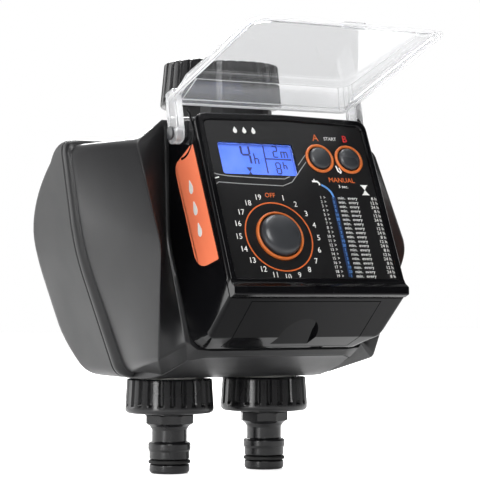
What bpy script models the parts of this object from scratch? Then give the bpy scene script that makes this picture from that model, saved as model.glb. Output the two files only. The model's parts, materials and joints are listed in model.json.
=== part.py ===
"""Two-outlet watering timer for a garden tap.

A split housing hangs from a ribbed tap nut and holds two solenoid valves, which feed two quick-connect
outlets below. A wedge-shaped control unit with a display, a dial, two buttons, a battery drawer and a
hinged clear cover sits on its front.

Lengths are in millimetres and are turned into metres when a mesh is made. Heights in the constants are
above the tips of the outlet nipples, +X is to the right seen from the front, and -Y points to the front.
The world's origin is where the tap's end face seats on the washer, on the tap nut's axis.
"""
import math

import bmesh
import bpy
from mathutils import Vector

MM = 0.001
GAP = 0.3                    # space left between pieces that touch

# Where things are
SEAT_Z = 153.0               # height of the washer face that the tap presses on
INLET_Y = -3.0               # the inlet axis lies this far in front of the outlets' plane
OUTLET_X = 22.0              # each outlet axis is this far from the middle
SIDES = (("left", -1), ("right", 1))

# Panel plane of the control unit: u runs along X, v up along the panel, n out of it
PANEL_TILT = math.radians(23.95)
PANEL_CENTRE = (0.0, -74.44, 94.05)
PANEL_TOP = 52.0
PANEL_BOTTOM = -19.0
PANEL_HALF = 38.2
DIAL_U, DIAL_V = -13.0, 0.0
BUTTON_V = 34.0
BUTTONS = (("a", 12.9), ("b", 26.1))
BUTTON_R = 4.6
DISPLAY = (-31.0, 2.0, 26.0, 40.0)     # u low, u high, v low, v high

# Housing
WALL = 2.6
BACK_HOLLOW = 0.945          # size of the rear half's hollow beside its outside
HOUSING_TOP = 133.5
HOUSING_BOTTOM = 38.6
CHIN_THICK = 3.0
BROW_Z = 133.2               # height of the flat top just behind the wall that the control unit leans on
SCREWS = ((46.0, 88.0, -35.0), (40.5, 66.0, -42.0))   # x, z and the post's front end, on one side
SCREW_SEAT_Y = 46.3

# Quick-connect outlet
NUT_BOTTOM, NUT_TOP = 24.4, 38.2
SPIGOT_R = 13.0
SPIGOT_BOTTOM = 30.9
NIPPLE_SECTION = (           # radius and height: tip, seal groove, flange, neck, collar, head in the nut
    (5.4, 0), (7.3, 0), (8.15, 0.9), (8.15, 3.5), (7.2, 3.7), (7.2, 5.7), (8.2, 5.9), (8.2, 9.0),
    (8.65, 9.6), (8.65, 12.0), (8.0, 12.6), (7.15, 12.8), (7.15, 17.6), (8.0, 19.0), (9.4, 20.0),
    (10.2, 20.2), (10.2, 26.7), (12.6, 26.7), (12.6, 28.2), (6.2, 28.2))

# Clear cover, in its own frame: e forward along the window, h away from the panel
HINGE_Y, HINGE_Z = -42.8, 133.8
COVER_TILT = math.radians(16.0)
COVER_THICK = 1.5


def clear_scene():
    for item in list(bpy.data.objects):
        bpy.data.objects.remove(item, do_unlink=True)


# ---------------------------------------------------------------- materials
def plastic(name, colour, roughness, metallic=0.0, alpha=1.0):
    mat = bpy.data.materials.new(name)
    mat.use_nodes = True
    shader = mat.node_tree.nodes["Principled BSDF"]
    shader.inputs["Base Color"].default_value = (*colour, 1.0)
    shader.inputs["Roughness"].default_value = roughness
    shader.inputs["Metallic"].default_value = metallic
    shader.inputs["Alpha"].default_value = alpha
    mat.diffuse_color = (*colour, alpha)
    return mat


def make_materials():
    return {
        "housing": plastic("housing_plastic", (0.060, 0.060, 0.066), 0.55),
        "fitting": plastic("fitting_plastic", (0.045, 0.045, 0.050), 0.42),
        "gloss": plastic("gloss_black", (0.008, 0.008, 0.010), 0.12),
        "key": plastic("key_plastic", (0.050, 0.052, 0.058), 0.38),
        "orange": plastic("orange_print", (0.80, 0.15, 0.02), 0.45),
        "rubber": plastic("seal_rubber", (0.012, 0.012, 0.012), 0.70),
        "clear": plastic("clear_cover", (0.95, 0.96, 0.97), 0.05, alpha=0.25),
        "display": plastic("display_glass", (0.10, 0.22, 0.95), 0.20),
        "board": plastic("board_green", (0.02, 0.12, 0.05), 0.50),
        "white": plastic("valve_plastic", (0.70, 0.70, 0.66), 0.45),
        "steel": plastic("steel", (0.60, 0.60, 0.62), 0.30, metallic=1.0),
        "copper": plastic("coil_wrap", (0.35, 0.10, 0.04), 0.40),
        "battery": plastic("battery_jacket", (0.10, 0.12, 0.16), 0.40),
        "mesh": plastic("filter_mesh", (0.55, 0.56, 0.58), 0.40, metallic=0.8),
    }


# ---------------------------------------------------------------- mesh helpers
def finish(name, bm, mat, parent=None, place=(0, 0, 0), turn=(0, 0, 0), angle=32):
    """Turns a bmesh in millimetres into an object in metres, with its faces pointing out."""
    bmesh.ops.recalc_face_normals(bm, faces=bm.faces)
    bmesh.ops.scale(bm, vec=(MM, MM, MM), verts=bm.verts)
    mesh = bpy.data.meshes.new(name)
    bm.to_mesh(mesh)
    bm.free()
    mesh.shade_smooth()
    mesh.set_sharp_from_angle(angle=math.radians(angle))
    obj = bpy.data.objects.new(name, mesh)
    bpy.context.collection.objects.link(obj)
    if mat:
        mesh.materials.append(mat)
    obj.parent = parent
    obj.location = Vector(place) * MM
    obj.rotation_euler = turn
    return obj


def empty(name, place, turn=(0, 0, 0), parent=None):
    obj = bpy.data.objects.new(name, None)
    obj.empty_display_size = 10 * MM
    bpy.context.collection.objects.link(obj)
    obj.parent = parent
    obj.location = Vector(place) * MM
    obj.rotation_euler = turn
    return obj


def combine(obj, tool, operation):
    """Boolean with a hidden tool object that stays in the file as a wire guide."""
    modifier = obj.modifiers.new(tool.name, "BOOLEAN")
    modifier.operation = operation
    modifier.solver = "EXACT"
    modifier.object = tool
    tool.hide_render = True
    tool.display_type = "WIRE"
    return obj


def cut(obj, *tools):
    for tool in tools:
        combine(obj, tool, "DIFFERENCE")
    return obj


def join(obj, *tools):
    for tool in tools:
        combine(obj, tool, "UNION")
    return obj


def bridge(bm, rings, caps=True):
    """Quads between rings of equal length, and flat ends."""
    count = len(rings[0])
    rows = [[bm.verts.new(point) for point in ring] for ring in rings]
    for low, high in zip(rows, rows[1:]):
        for i in range(count):
            j = (i + 1) % count
            bm.faces.new((low[i], low[j], high[j], high[i]))
    if caps:
        bm.faces.new(rows[0])
        bm.faces.new(rows[-1])
    return rows


def ladder_cap(bm, row, least=0.05):
    """Closes a ring that is symmetric about X = 0 with strips across it, none of them flat to a line."""
    half = len(row) // 2
    rungs = [0]
    for i in range(1, half):
        if abs(row[i].co.z - row[rungs[-1]].co.z) > least:
            rungs.append(i)
    rungs[-1] = half - 1
    for start, end in zip(rungs, rungs[1:]):
        right = row[start:end + 1]
        left = [row[-1 - i] for i in range(end, start - 1, -1)]
        bm.faces.new(right + left)


def prism(outline, low, high):
    """Extrudes an outline in the second and third axes along the first one."""
    bm = bmesh.new()
    bridge(bm, [[(x, p[0], p[1]) for p in outline] for x in (low, high)])
    return bm


def plate(outline, low, high):
    """Extrudes an outline in the first two axes along the third one."""
    bm = bmesh.new()
    bridge(bm, [[(p[0], p[1], z) for p in outline] for z in (low, high)])
    return bm


def box(low, high):
    bm = bmesh.new()
    bridge(bm, [[(low[0], low[1], z), (high[0], low[1], z), (high[0], high[1], z), (low[0], high[1], z)]
                for z in (low[2], high[2])])
    return bm


def round_corners(outline, steps=3):
    """Rounds corners given as (x, y, radius), each with a run of points on a smooth bend."""
    points = []
    count = len(outline)
    for i, (x, y, radius) in enumerate(outline):
        here = Vector((x, y))
        if radius == 0:
            points.append(tuple(here))
            continue
        before = (Vector(outline[i - 1][:2]) - here).normalized() * radius
        after = (Vector(outline[(i + 1) % count][:2]) - here).normalized() * radius
        for k in range(steps + 1):
            t = k / steps
            points.append(tuple(here + before * (1 - t) ** 2 + after * t ** 2))
    return points


def rectangle(u0, u1, v0, v1, radius, steps=3):
    return round_corners([(u0, v0, radius), (u1, v0, radius), (u1, v1, radius), (u0, v1, radius)], steps)


def circle(radius, count, centre=(0.0, 0.0)):
    return [(centre[0] + radius * math.cos(2 * math.pi * i / count),
             centre[1] + radius * math.sin(2 * math.pi * i / count)) for i in range(count)]


def turned(profile, count=24, centre=(0.0, 0.0)):
    """Revolves a closed section of (radius, height) points about an upright axis.

    A section that starts and ends at radius 0 gives a solid, any other gives a ring.
    """
    bm = bmesh.new()
    rows = []
    solid = profile[0][0] == 0
    flat_start = solid and profile[0][1] == profile[1][1]
    flat_end = solid and profile[-1][1] == profile[-2][1]
    for radius, z in profile[int(flat_start):len(profile) - int(flat_end)]:
        if radius == 0:
            rows.append([bm.verts.new((*centre, z))])
        else:
            rows.append([bm.verts.new((x, y, z)) for x, y in circle(radius, count, centre)])
    pairs = list(zip(rows, rows[1:]))
    if not solid:
        pairs.append((rows[-1], rows[0]))
    if flat_start:
        bm.faces.new(rows[0])
    if flat_end:
        bm.faces.new(rows[-1])
    for low, high in pairs:
        for i in range(count):
            j = (i + 1) % count
            corners = [low[i % len(low)], low[j % len(low)], high[j % len(high)], high[i % len(high)]]
            bm.faces.new(list(dict.fromkeys(corners)))
    return bm


def rod(radius, low, high, count=20, centre=(0.0, 0.0)):
    return turned([(0, low), (radius, low), (radius, high), (0, high)], count, centre)


def tube(inner, outer, low, high, count=24, centre=(0.0, 0.0)):
    return turned([(inner, low), (outer, low), (outer, high), (inner, high)], count, centre)


def ribbed_ring(radius, depth, ribs, z):
    """One ring of a grooved grip: each rib has a flat crest and a narrower groove floor."""
    points = []
    pitch = 2 * math.pi / ribs
    for i in range(ribs):
        for share, drop in ((-0.30, 0.0), (0.22, 0.0), (0.34, depth), (0.58, depth)):
            angle = (i + share) * pitch
            points.append(((radius - drop) * math.cos(angle), (radius - drop) * math.sin(angle), z))
    return points


# ---------------------------------------------------------------- housing
SIDE_RUNS = (0, 4, 4, 0, 0)   # extra points on the straight run after each corner of a housing ring


def half_ring(corners, steps=3):
    """A ring that is symmetric about X = 0, from corners (x, y, z, bend) on the right, top to bottom."""
    right = []
    for i, (x, y, z, bend) in enumerate(corners):
        here = Vector((x, y, z))
        if bend == 0:
            turn = [here]
        else:
            before = (Vector(corners[i - 1][:3]) - here).normalized() * bend
            after = (Vector(corners[i + 1][:3]) - here).normalized() * bend
            shares = [k / steps for k in range(steps + 1)]
            turn = [here + before * (1 - t) ** 2 + after * t ** 2 for t in shares]
        runs = SIDE_RUNS[i - 1] if i else 0
        for k in range(runs):
            right.append(right[-1].lerp(turn[0], 1.0 / (runs - k + 1)))
        right += turn
    return right + [Vector((-p.x, p.y, p.z)) for p in reversed(right)]


def seam_ring(y, inset=0.0):
    """The parting line of the two housing halves, as seen from the front."""
    return half_ring([
        (40.0, y, HOUSING_TOP - inset, 0),
        (70.5 - inset, y, HOUSING_TOP - inset, 6),
        (64.3 - inset, y, 90.0, 12),
        (46.3 - inset, y, HOUSING_BOTTOM + 1.2 + inset, 4.5),
        (37.0, y, HOUSING_BOTTOM + inset, 0),
        (30.0, y, HOUSING_BOTTOM + inset, 0),
    ])


def ridge_ring():
    """The sharp ridge where the housing's sides turn in towards the control unit."""
    return half_ring([
        (39.6, -28.0, 140.4, 0),
        (54.0, -35.5, 131.5, 3),
        (54.6, -58.5, 90.5, 5),
        (48.4, -43.4, 47.2, 1.5),
        (38.3, -26.1, 40.9, 0),
        (30.0, -25.5, 40.7, 0),
    ])


def valley_ring():
    """The foot of the facets, along the control unit's sides."""
    return half_ring([
        (39.2, -28.8, 139.6, 0),
        (39.3, -29.4, 137.4, 0.8),
        (39.2, -31.0, 92.5, 5),
        (39.2, -48.4, 53.6, 1.0),
        (36.5, -44.1, 47.1, 0),
        (30.9, -49.1, 48.4, 0),
    ])


def seat_ring():
    """The edge of the sloping wall that the control unit is fixed to."""
    return half_ring([
        (38.2, -29.2, 138.6, 0),
        (38.3, -29.9, 136.8, 0.8),
        (38.2, -31.6, 92.5, 5),
        (38.2, -50.4, 53.0, 1.0),
        (36.0, -51.6, 51.2, 0),
        (30.0, -51.8, 50.6, 0),
    ])


def chin_profile():
    """Front-to-back run of the underside: (y, z, half width)."""
    return [(4.0, HOUSING_BOTTOM + 0.1, 40.0), (-10.0, HOUSING_BOTTOM + 0.1, 39.4), (-18.0, 39.3, 38.6),
            (-26.1, 40.9, 37.9), (-35.0, 43.6, 37.2), (-43.8, 46.8, 36.2), (-48.6, 48.1, 30.6)]


def chin_mesh(grow):
    """The underside plate, or with grow > 0 the tool that makes room for it."""
    bm = bmesh.new()
    rings = []
    for y, z, half in chin_profile():
        low = z - (2.0 if grow else 0.0)
        high = z + CHIN_THICK + (2.0 if grow else 0.0)
        wide = half + grow
        rings.append([(wide, y - grow, low), (wide, y - grow, high), (-wide, y - grow, high),
                      (-wide, y - grow, low)])
    bridge(bm, rings)
    return bm


def back_depth(z):
    """How far the back wall lies behind the parting line at a height: a dome above, a tuck below."""
    if z > 92.0:
        rise = (z - 92.0) / (HOUSING_TOP - 92.0)
        return 3.5 + 44.0 * (1.0 - rise ** 2.1)
    if z < 62.0:
        fall = (62.0 - z) / (62.0 - HOUSING_BOTTOM)
        return 47.5 - 14.0 * fall ** 2
    return 47.5


def back_ring(angle, corner=9.0):
    """A ring on the rounded edge of the back, from 0 at the side wall to 90 degrees at the back wall."""
    ring = []
    for p in seam_ring(0.0):
        depth = back_depth(p.z)
        radius = min(corner, 0.45 * depth)
        inset = radius * (1 - math.cos(angle))
        lift = inset * 0.6 * max(0.0, 1.0 - (p.z - HOUSING_BOTTOM) / 16.0)
        x = p.x * (1.0 - inset / 62.0)
        ring.append(Vector((x, depth - radius * (1 - math.sin(angle)), p.z + lift)))
    return ring


def front_hollow_mesh():
    """The room inside the front half. The acute ridges stay solid, because they are too thin to core."""
    inner_ridge = half_ring([
        (36.5, -23.0, 130.6, 0),
        (49.5, -26.0, 128.4, 3),
        (48.0, -34.0, 90.5, 5),
        (42.4, -34.0, 52.0, 1.5),
        (36.5, -24.0, 45.0, 0),
        (29.0, -23.5, 44.8, 0),
    ])
    inner_wall = half_ring([
        (35.8, -26.0, 130.4, 0),
        (36.0, -26.6, 128.4, 0.8),
        (36.0, -28.0, 92.5, 5),
        (36.0, -44.0, 58.0, 1.0),
        (34.0, -44.0, 53.4, 0),
        (28.5, -44.2, 53.0, 0),
    ])
    bm = bmesh.new()
    rows = bridge(bm, [seam_ring(2.0, WALL), seam_ring(-5.0, WALL + 1.6), inner_ridge, inner_wall],
                  caps=False)
    bm.faces.new(rows[0])
    ladder_cap(bm, rows[-1])
    return bm


def make_front_housing(mats, root):
    bm = bmesh.new()
    ridge, valley, rim = ridge_ring(), valley_ring(), seam_ring(-4.6, 1.6)
    brow = [a.lerp(b, 0.86) for a, b in zip(rim, ridge)]
    brow[0].z = brow[-1].z = BROW_Z
    facets = [[a.lerp(b, share) for a, b in zip(ridge, valley)] for share in (0.0, 0.25, 0.5, 0.75, 1.0)]
    rows = bridge(bm, [seam_ring(0.0), seam_ring(-3.6), rim, brow, *facets, seat_ring()], caps=False)
    bm.faces.new(rows[0])
    ladder_cap(bm, rows[-1])
    shell = finish("front_housing", bm, mats["housing"], root)
    cut(shell, finish("front_hollow", front_hollow_mesh(), None, root))
    chin_room = finish("chin_room", chin_mesh(GAP), None, root)
    neck_room = finish("front_neck_room", rod(21.3, 110, 150, 32, (0, INLET_Y)), None, root)
    lead_room = finish("lead_room", box((-8, -60, 100), (8, -20, 112)), None, root)
    for side, sign in SIDES:
        for k, (x, z, start) in enumerate(SCREWS):
            post = finish(f"post_{side}_{k}", rod(3.5, -SCREW_SEAT_Y + 2.8, -start, 12), None, root,
                          (sign * x, 0, z), (math.radians(90), 0, 0))
            join(shell, post)
    cut(shell, chin_room, neck_room, lead_room)
    for side, sign in SIDES:
        for k, (x, z, _) in enumerate(SCREWS):
            hole = finish(f"post_hole_{side}_{k}", rod(1.7, -32.0, -SCREW_SEAT_Y - 5, 12), None, root,
                          (sign * x, 0, z), (math.radians(90), 0, 0))
            cut(shell, hole)
    return shell


def back_mesh(front, size=1.0):
    """The solid behind the parting line. A smaller size about the housing's middle gives its hollow."""
    middle = Vector((0.0, 0.0, 86.0))
    rings = [seam_ring(front / size)] + [back_ring(math.radians(a)) for a in (0, 30, 60, 90)]
    bm = bmesh.new()
    rows = bridge(bm, [[middle + (p - middle) * size for p in ring] for ring in rings], caps=False)
    bm.faces.new(rows[0])
    ladder_cap(bm, rows[-1])
    return bm


def make_rear_housing(mats, root):
    shell = finish("rear_housing", back_mesh(GAP), mats["housing"], root)
    cut(shell, finish("rear_hollow", back_mesh(-2.0, BACK_HOLLOW), None, root))
    join(shell, finish("chin", chin_mesh(0.0), None, root))
    neck_room = finish("rear_neck_room", rod(21.3, 110, 150, 32, (0, INLET_Y)), None, root)
    cut(shell, neck_room)
    for side, sign in SIDES:
        hole = finish(f"outlet_room_{side}", rod(SPIGOT_R + GAP, 30, 46, 24), None, root,
                      (sign * OUTLET_X, 0, 0))
        cut(shell, hole)
        for k, (x, z, _) in enumerate(SCREWS):
            room = turned([(0, -60), (3.9, -60), (3.9, -SCREW_SEAT_Y), (1.8, -SCREW_SEAT_Y), (1.8, -36),
                           (0, -36)], 16)
            cut(shell, finish(f"screw_room_{side}_{k}", room, None, root, (sign * x, 0, z),
                              (math.radians(90), 0, 0)))
    return shell


def make_housing_screws(mats, root):
    """Pan-head screws driven from the back into the front half's posts."""
    seat = SCREW_SEAT_Y
    number = 0
    for side, sign in SIDES:
        for x, z, _ in SCREWS:
            number += 1
            bm = turned([(0, -seat - 1.7), (2.6, -seat - 1.7), (3.6, -seat - 0.9), (3.6, -seat - 0.2),
                         (1.3, -seat - 0.2), (1.3, -seat + 12), (0, -seat + 13)], 12)
            finish(f"housing_screw_{number}", bm, mats["steel"], root, (sign * x, 0, z),
                   (math.radians(90), 0, 0))


# ---------------------------------------------------------------- inlet
def make_inlet(mats, root):
    axis = (0, INLET_Y, 0)
    collar = turned([(5.4, 72.3), (7.6, 72.3), (7.6, 120), (10.0, 126), (21.0, 126), (21.0, 147.6),
                     (17.5, 147.6), (17.5, 150.4), (9.0, 150.4), (9.0, 146), (6.5, 134)], 28)
    finish("inlet_collar", collar, mats["housing"], root, axis)
    make_inlet_nut(mats, root, axis)
    finish("inlet_washer", tube(9.0, 16.0, 150.7, SEAT_Z, 24), mats["rubber"], root, axis)
    strainer = turned([(0, 134.0), (5.2, 134.0), (6.0, 147.0), (8.6, 151.0), (8.6, SEAT_Z), (7.6, SEAT_Z),
                       (5.4, 147.4), (4.6, 134.8), (0, 134.8)], 16)
    finish("inlet_filter", strainer, mats["mesh"], root, axis)


def make_inlet_nut(mats, root, axis):
    ribs = 30
    bm = bmesh.new()
    bridge(bm, [ribbed_ring(23.9, 0.0, ribs, 148.6), ribbed_ring(25.0, 0.0, ribs, 149.8),
                ribbed_ring(24.8, 1.3, ribs, 151.4), ribbed_ring(23.3, 1.1, ribs, 167.0)])
    nut = finish("inlet_nut", bm, mats["fitting"], root, axis)
    bore = turned([(0, 147), (17.9, 147), (17.9, 150.4), (16.8, 152.0), (16.8, 168), (0, 168)], 32)
    cut(nut, finish("inlet_nut_bore", bore, None, root, axis))
    lip = turned([(0, 147), (17.9, 147), (17.9, 150.0), (0, 150.0)], 32)
    cut(nut, finish("inlet_nut_mouth", lip, None, root, axis))


# ---------------------------------------------------------------- valves and outlets
def make_manifold(mats, root):
    """A cross chamber under the inlet pipe feeds two upright valve bodies with threaded spigots."""
    socket = rod(10.2, 61.0, 73.8, 20, (0, INLET_Y))
    manifold = finish("valve_manifold", socket, mats["white"], root)
    bar = finish("cross_chamber", box((-24, -9.5, 62), (24, 9.5, 72.4)), None, root)
    legs = [finish(f"leg_{side}", rod(SPIGOT_R, SPIGOT_BOTTOM, 74, 24), None, root, (s * OUTLET_X, 0, 0))
            for side, s in SIDES]
    join(manifold, bar, *legs)
    cut(manifold, finish("inlet_pipe_room", rod(7.9, 72.0, 80, 20, (0, INLET_Y)), None, root),
        finish("drop_bore", rod(5.4, 66.8, 79, 16, (0, INLET_Y)), None, root),
        finish("cross_bore", box((-15, -2.5, 67.4), (15, 2.5, 70.9)), None, root))
    for side, sign in SIDES:
        axis = (sign * OUTLET_X, 0, 0)
        cut(manifold, finish(f"leg_bore_{side}", rod(8.0, 29, 60, 16), None, root, axis),
            finish(f"seat_bore_{side}", rod(4.0, 58, 81, 12), None, root, axis),
            finish(f"seat_groove_{side}", tube(6.0, 10.6, 69.6, 82, 18), None, root, axis))
    return manifold


def make_valve(side, sign, mats, root):
    axis = (sign * OUTLET_X, 0, 0)
    diaphragm = turned([(0, 74.3), (10.6, 74.3), (10.6, 75.4), (4.0, 75.4), (3.0, 76.6), (0, 76.6)], 20)
    finish(f"diaphragm_{side}", diaphragm, mats["rubber"], root, axis)
    bonnet = turned([(3.4, 84.0), (3.4, 79.4), (10.9, 78.4), (10.9, 74.3), (12.6, 74.3), (12.6, 84.0)], 20)
    finish(f"valve_bonnet_{side}", bonnet, mats["white"], root, axis)
    finish(f"solenoid_coil_{side}", turned(coil_section(), 20), mats["copper"], root, axis)
    plunger = turned([(0, 77.0), (2.9, 77.0), (2.9, 95.0), (0, 95.0)], 12)
    finish(f"plunger_{side}", plunger, mats["steel"], root, axis)
    finish(f"plunger_spring_{side}", spring_mesh(2.2, 0.45, 95.4, 101.6, 4), mats["steel"], root, axis)


def coil_section():
    """Bobbin and winding with a closed top above the plunger's bore."""
    return [(0, 102.0), (3.3, 102.0), (3.3, 84.3), (9.4, 84.3), (9.4, 86.0), (8.6, 86.4), (8.6, 103.0),
            (9.4, 103.4), (9.4, 105.0), (0, 105.0)]


def spring_mesh(radius, wire, low, high, turns):
    """A helical spring."""
    bm = bmesh.new()
    steps = turns * 6
    rings = []
    for i in range(steps + 1):
        angle = 2 * math.pi * i / 6
        z = low + wire + (high - low - 2 * wire) * i / steps
        out = Vector((math.cos(angle), math.sin(angle), 0))
        rings.append([out * (radius + a * wire) + Vector((0, 0, z + b * wire))
                      for a, b in ((1, 0), (0, 1), (-1, 0), (0, -1))])
    bridge(bm, rings)
    return bm


def make_outlet(side, sign, mats, root):
    axis = (sign * OUTLET_X, 0, 0)
    ribs = 24
    bm = bmesh.new()
    bridge(bm, [ribbed_ring(16.9, 0.0, ribs, NUT_BOTTOM), ribbed_ring(18.05, 0.0, ribs, 25.6),
                ribbed_ring(17.9, 1.25, ribs, 27.8), ribbed_ring(17.3, 1.25, ribs, NUT_TOP)])
    nut = finish(f"outlet_nut_{side}", bm, mats["fitting"], root, axis)
    wide = SPIGOT_R + GAP
    bore = turned([(0, 23), (10.5, 23), (10.5, 26.4), (wide, 26.4), (wide, 40), (0, 40)], 24)
    cut(nut, finish(f"outlet_nut_bore_{side}", bore, None, root, axis))
    finish(f"outlet_nipple_{side}", turned(NIPPLE_SECTION, 20), mats["fitting"], root, axis)
    ring = turned([(7.5 + 0.55 * (1 + math.cos(a)), 4.7 + 0.7 * math.sin(a))
                   for a in [math.radians(72 * k) for k in range(5)]], 20)
    finish(f"nipple_oring_{side}", ring, mats["rubber"], root, axis)
    washer = tube(7.0, 12.4, 28.5, SPIGOT_BOTTOM - GAP, 20)
    finish(f"outlet_washer_{side}", washer, mats["rubber"], root, axis)


# ---------------------------------------------------------------- control unit
CASE_SLICES = (              # depth n, lowest v, highest v, bend of the lower corners, of the upper ones
    (-3.2, -24.2, 52.0, 1.5, 4.5),
    (-21.3, -30.0, 61.6, 2.0, 4.0),
    (-24.4, -31.0, 53.6, 3.0, 3.5),
    (-30.0, -30.8, 39.3, 6.0, 2.0),
    (-35.8, -30.5, 24.4, 8.0, 1.0),
    (-37.5, -30.2, 20.0, 7.5, 1.0),
    (-38.1, -28.9, 18.5, 7.0, 1.0))


def case_mesh(shrink=0.0, front=None):
    """The case as slices along its depth. With a shrink it is the hollow, opened towards the front."""
    half = PANEL_HALF - shrink
    rings = []
    for n, low, high, low_bend, high_bend in CASE_SLICES:
        outline = round_corners([(half, low + shrink, low_bend), (half, high - shrink, high_bend),
                                 (-half, high - shrink, high_bend), (-half, low + shrink, low_bend)], 4)
        rings.append([(u, v, n + (shrink if n < CASE_SLICES[0][0] else 0.0)) for u, v in outline])
    if front is not None:
        rings[0] = [(u, v, front) for u, v, _ in rings[0]]
    bm = bmesh.new()
    bridge(bm, rings)
    return bm


def make_case(mats, panel):
    """Box behind the panel, open to the front, with room for the battery drawer in its underside."""
    case = finish("control_case", case_mesh(), mats["gloss"], panel)
    cut(case, finish("case_hollow", case_mesh(2.0, 4.0), None, panel))
    cut(case, finish("drawer_room", box((-28.3, -45, -34.3), (28.3, -20, -4.7)), None, panel))
    cut(case, finish("case_lead_room", box((-8, 24, -50), (8, 34, -28)), None, panel))
    cut(case, finish("drip_slot", box((12.0, -33, -42), (17.5, -28.7, -34.8)), None, panel))
    for side, sign in SIDES:
        v, n = hinge_in_panel()
        hole = finish(f"pin_room_{side}", rod(1.55, 32, 45, 12), None, panel, (0, v, n),
                      (0, math.radians(90) * sign, 0))
        cut(case, hole)
    return case


def hinge_in_panel():
    dy = HINGE_Y - PANEL_CENTRE[1]
    dz = HINGE_Z - PANEL_CENTRE[2]
    sin, cos = math.sin(PANEL_TILT), math.cos(PANEL_TILT)
    return dy * sin + dz * cos, -dy * cos + dz * sin


def fascia_outline(inset):
    """The front frame: nearly square, with a top edge that arches by a millimetre."""
    top, low = PANEL_TOP - inset, PANEL_BOTTOM + inset * 0.4
    half = PANEL_HALF - inset
    return round_corners([(half + 0.2, low, 2.0), (half, top, 4.5), (0, top + 1.0, 0), (-half, top, 4.5),
                          (-half - 0.2, low, 2.0), (0, low - 0.8, 0)])


def make_fascia(mats, panel):
    bm = bmesh.new()
    bridge(bm, [[(u, v, n) for u, v in fascia_outline(inset)] for inset, n in
                ((0.3, -2.9), (0.0, -2.6), (0.0, -0.9), (0.8, 0.0))])
    fascia = finish("control_fascia", bm, mats["gloss"], panel)
    lip = [(-19.4, 0.0), (-21.6, 1.6), (-24.2, 0.5), (-24.0, -2.9), (-17.0, -2.9), (-17.0, -0.5)]
    join(fascia, finish("lower_lip", prism(lip, -38.0, 38.0), None, panel))
    recess = plate(fascia_outline(2.9), -0.9, 3.0)
    cut(fascia, finish("panel_recess", recess, None, panel))
    cut(fascia, finish("latch_notch", box((-3.2, -22.4, 0.6), (3.2, -20.8, 3.0)), None, panel))
    u0, u1, v0, v1 = DISPLAY
    cut(fascia, finish("display_room", plate(rectangle(u0, u1, v0, v1, 1.2), -6, 3), None, panel))
    cut(fascia, finish("dial_room", rod(8.7, -6, 3, 28, (DIAL_U, DIAL_V)), None, panel))
    for key, u in BUTTONS:
        room = rod(BUTTON_R + GAP, -6, 3, 24, (u, BUTTON_V))
        cut(fascia, finish(f"button_room_{key}", room, None, panel))
    return fascia


def make_display(mats, panel):
    u0, u1, v0, v1 = DISPLAY
    window = plate(rectangle(u0 + GAP, u1 - GAP, v0 + GAP, v1 - GAP, 1.0), -2.4, -1.2)
    finish("display_window", window, mats["clear"], panel)
    finish("display_module", box((u0 - 1, v0 - 2, -7.2), (u1 + 1, v1 + 1.5, -3.2)), mats["display"], panel)


def make_dial(mats, panel):
    """A domed knob in one piece with its shaft, the fixed ring around it and the switch that it turns."""
    centre = (DIAL_U, DIAL_V, 0)
    knob = turned([(0, -4.4), (3.0, -4.4), (3.0, -2.4), (8.4, -2.4), (8.4, 0.9), (8.1, 1.9),
                   (7.2, 2.9), (5.0, 3.6), (0, 4.0)], 24)
    finish("dial_knob", knob, mats["key"], panel, centre)
    ring = turned([(8.9, -0.6), (9.9, -0.6), (9.9, 0.5), (9.6, 0.9), (9.1, 0.9), (8.9, 0.5)], 24)
    finish("dial_ring", ring, mats["orange"], panel, centre)
    finish("rotary_switch", box((DIAL_U - 6.5, DIAL_V - 6.5, -8.7), (DIAL_U + 6.5, DIAL_V + 6.5, -4.8)),
           mats["board"], panel)


def make_button(key, u, mats, panel):
    """A domed key on a stem, its coloured ring and the switch that it presses."""
    centre = (u, BUTTON_V, 0)
    cap = turned([(0, -6.4), (1.6, -6.4), (1.6, -3.4), (5.4, -3.4), (5.4, -3.1), (BUTTON_R, -3.1),
                  (BUTTON_R, 0.3), (4.2, 0.9), (2.4, 1.4), (0, 1.6)], 16)
    finish(f"button_{key}", cap, mats["key"], panel, centre)
    ring = turned([(5.0, -0.6), (6.2, -0.6), (6.2, -0.2), (5.9, 0.1), (5.3, 0.1), (5.0, -0.2)], 20)
    finish(f"button_ring_{key}", ring, mats["orange"], panel, centre)
    switch = box((u - 3, BUTTON_V - 3, -8.7), (u + 3, BUTTON_V + 3, -7.4))
    finish(f"tact_switch_{key}", switch, mats["steel"], panel)


def make_board(mats, panel):
    finish("circuit_board", box((-34, -14, -10.6), (34, 48, -9.0)), mats["board"], panel)


def make_battery(mats, panel):
    """The drawer's front is part of the unit's underside, and its tray holds a nine-volt block."""
    face = [(-24.8, -5.0), (-31.0, -24.4), (-30.6, -34.0), (-27.0, -34.0), (-27.2, -24.6), (-21.2, -5.0)]
    drawer = finish("battery_drawer", prism(face, -28.0, 28.0), mats["gloss"], panel)
    join(drawer, finish("tray", box((-26.4, -28.0, -32.6), (26.4, -8.0, -11.4)), None, panel))
    cut(drawer, finish("tray_hollow", box((-24.8, -24.4, -31.4), (24.8, 0, -12.6)), None, panel))
    cut(drawer, finish("scoop", scoop_mesh(), None, panel))
    block = rounded_block((-24.2, -24.0, -30.7), (24.2, 2.4, -13.3))
    finish("battery", block, mats["battery"], panel)
    finish("battery_contacts", box((-20, 3.0, -29.0), (20, 5.2, -15.0)), mats["steel"], panel)


def rounded_block(low, high):
    """A box with its long edges, those along X, rounded."""
    bm = box(low, high)
    edges = [e for e in bm.edges if abs(e.verts[0].co.x - e.verts[1].co.x) > 1]
    bmesh.ops.bevel(bm, geom=edges, offset=2.0, segments=2, profile=0.5, affect="EDGES")
    return bm


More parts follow.
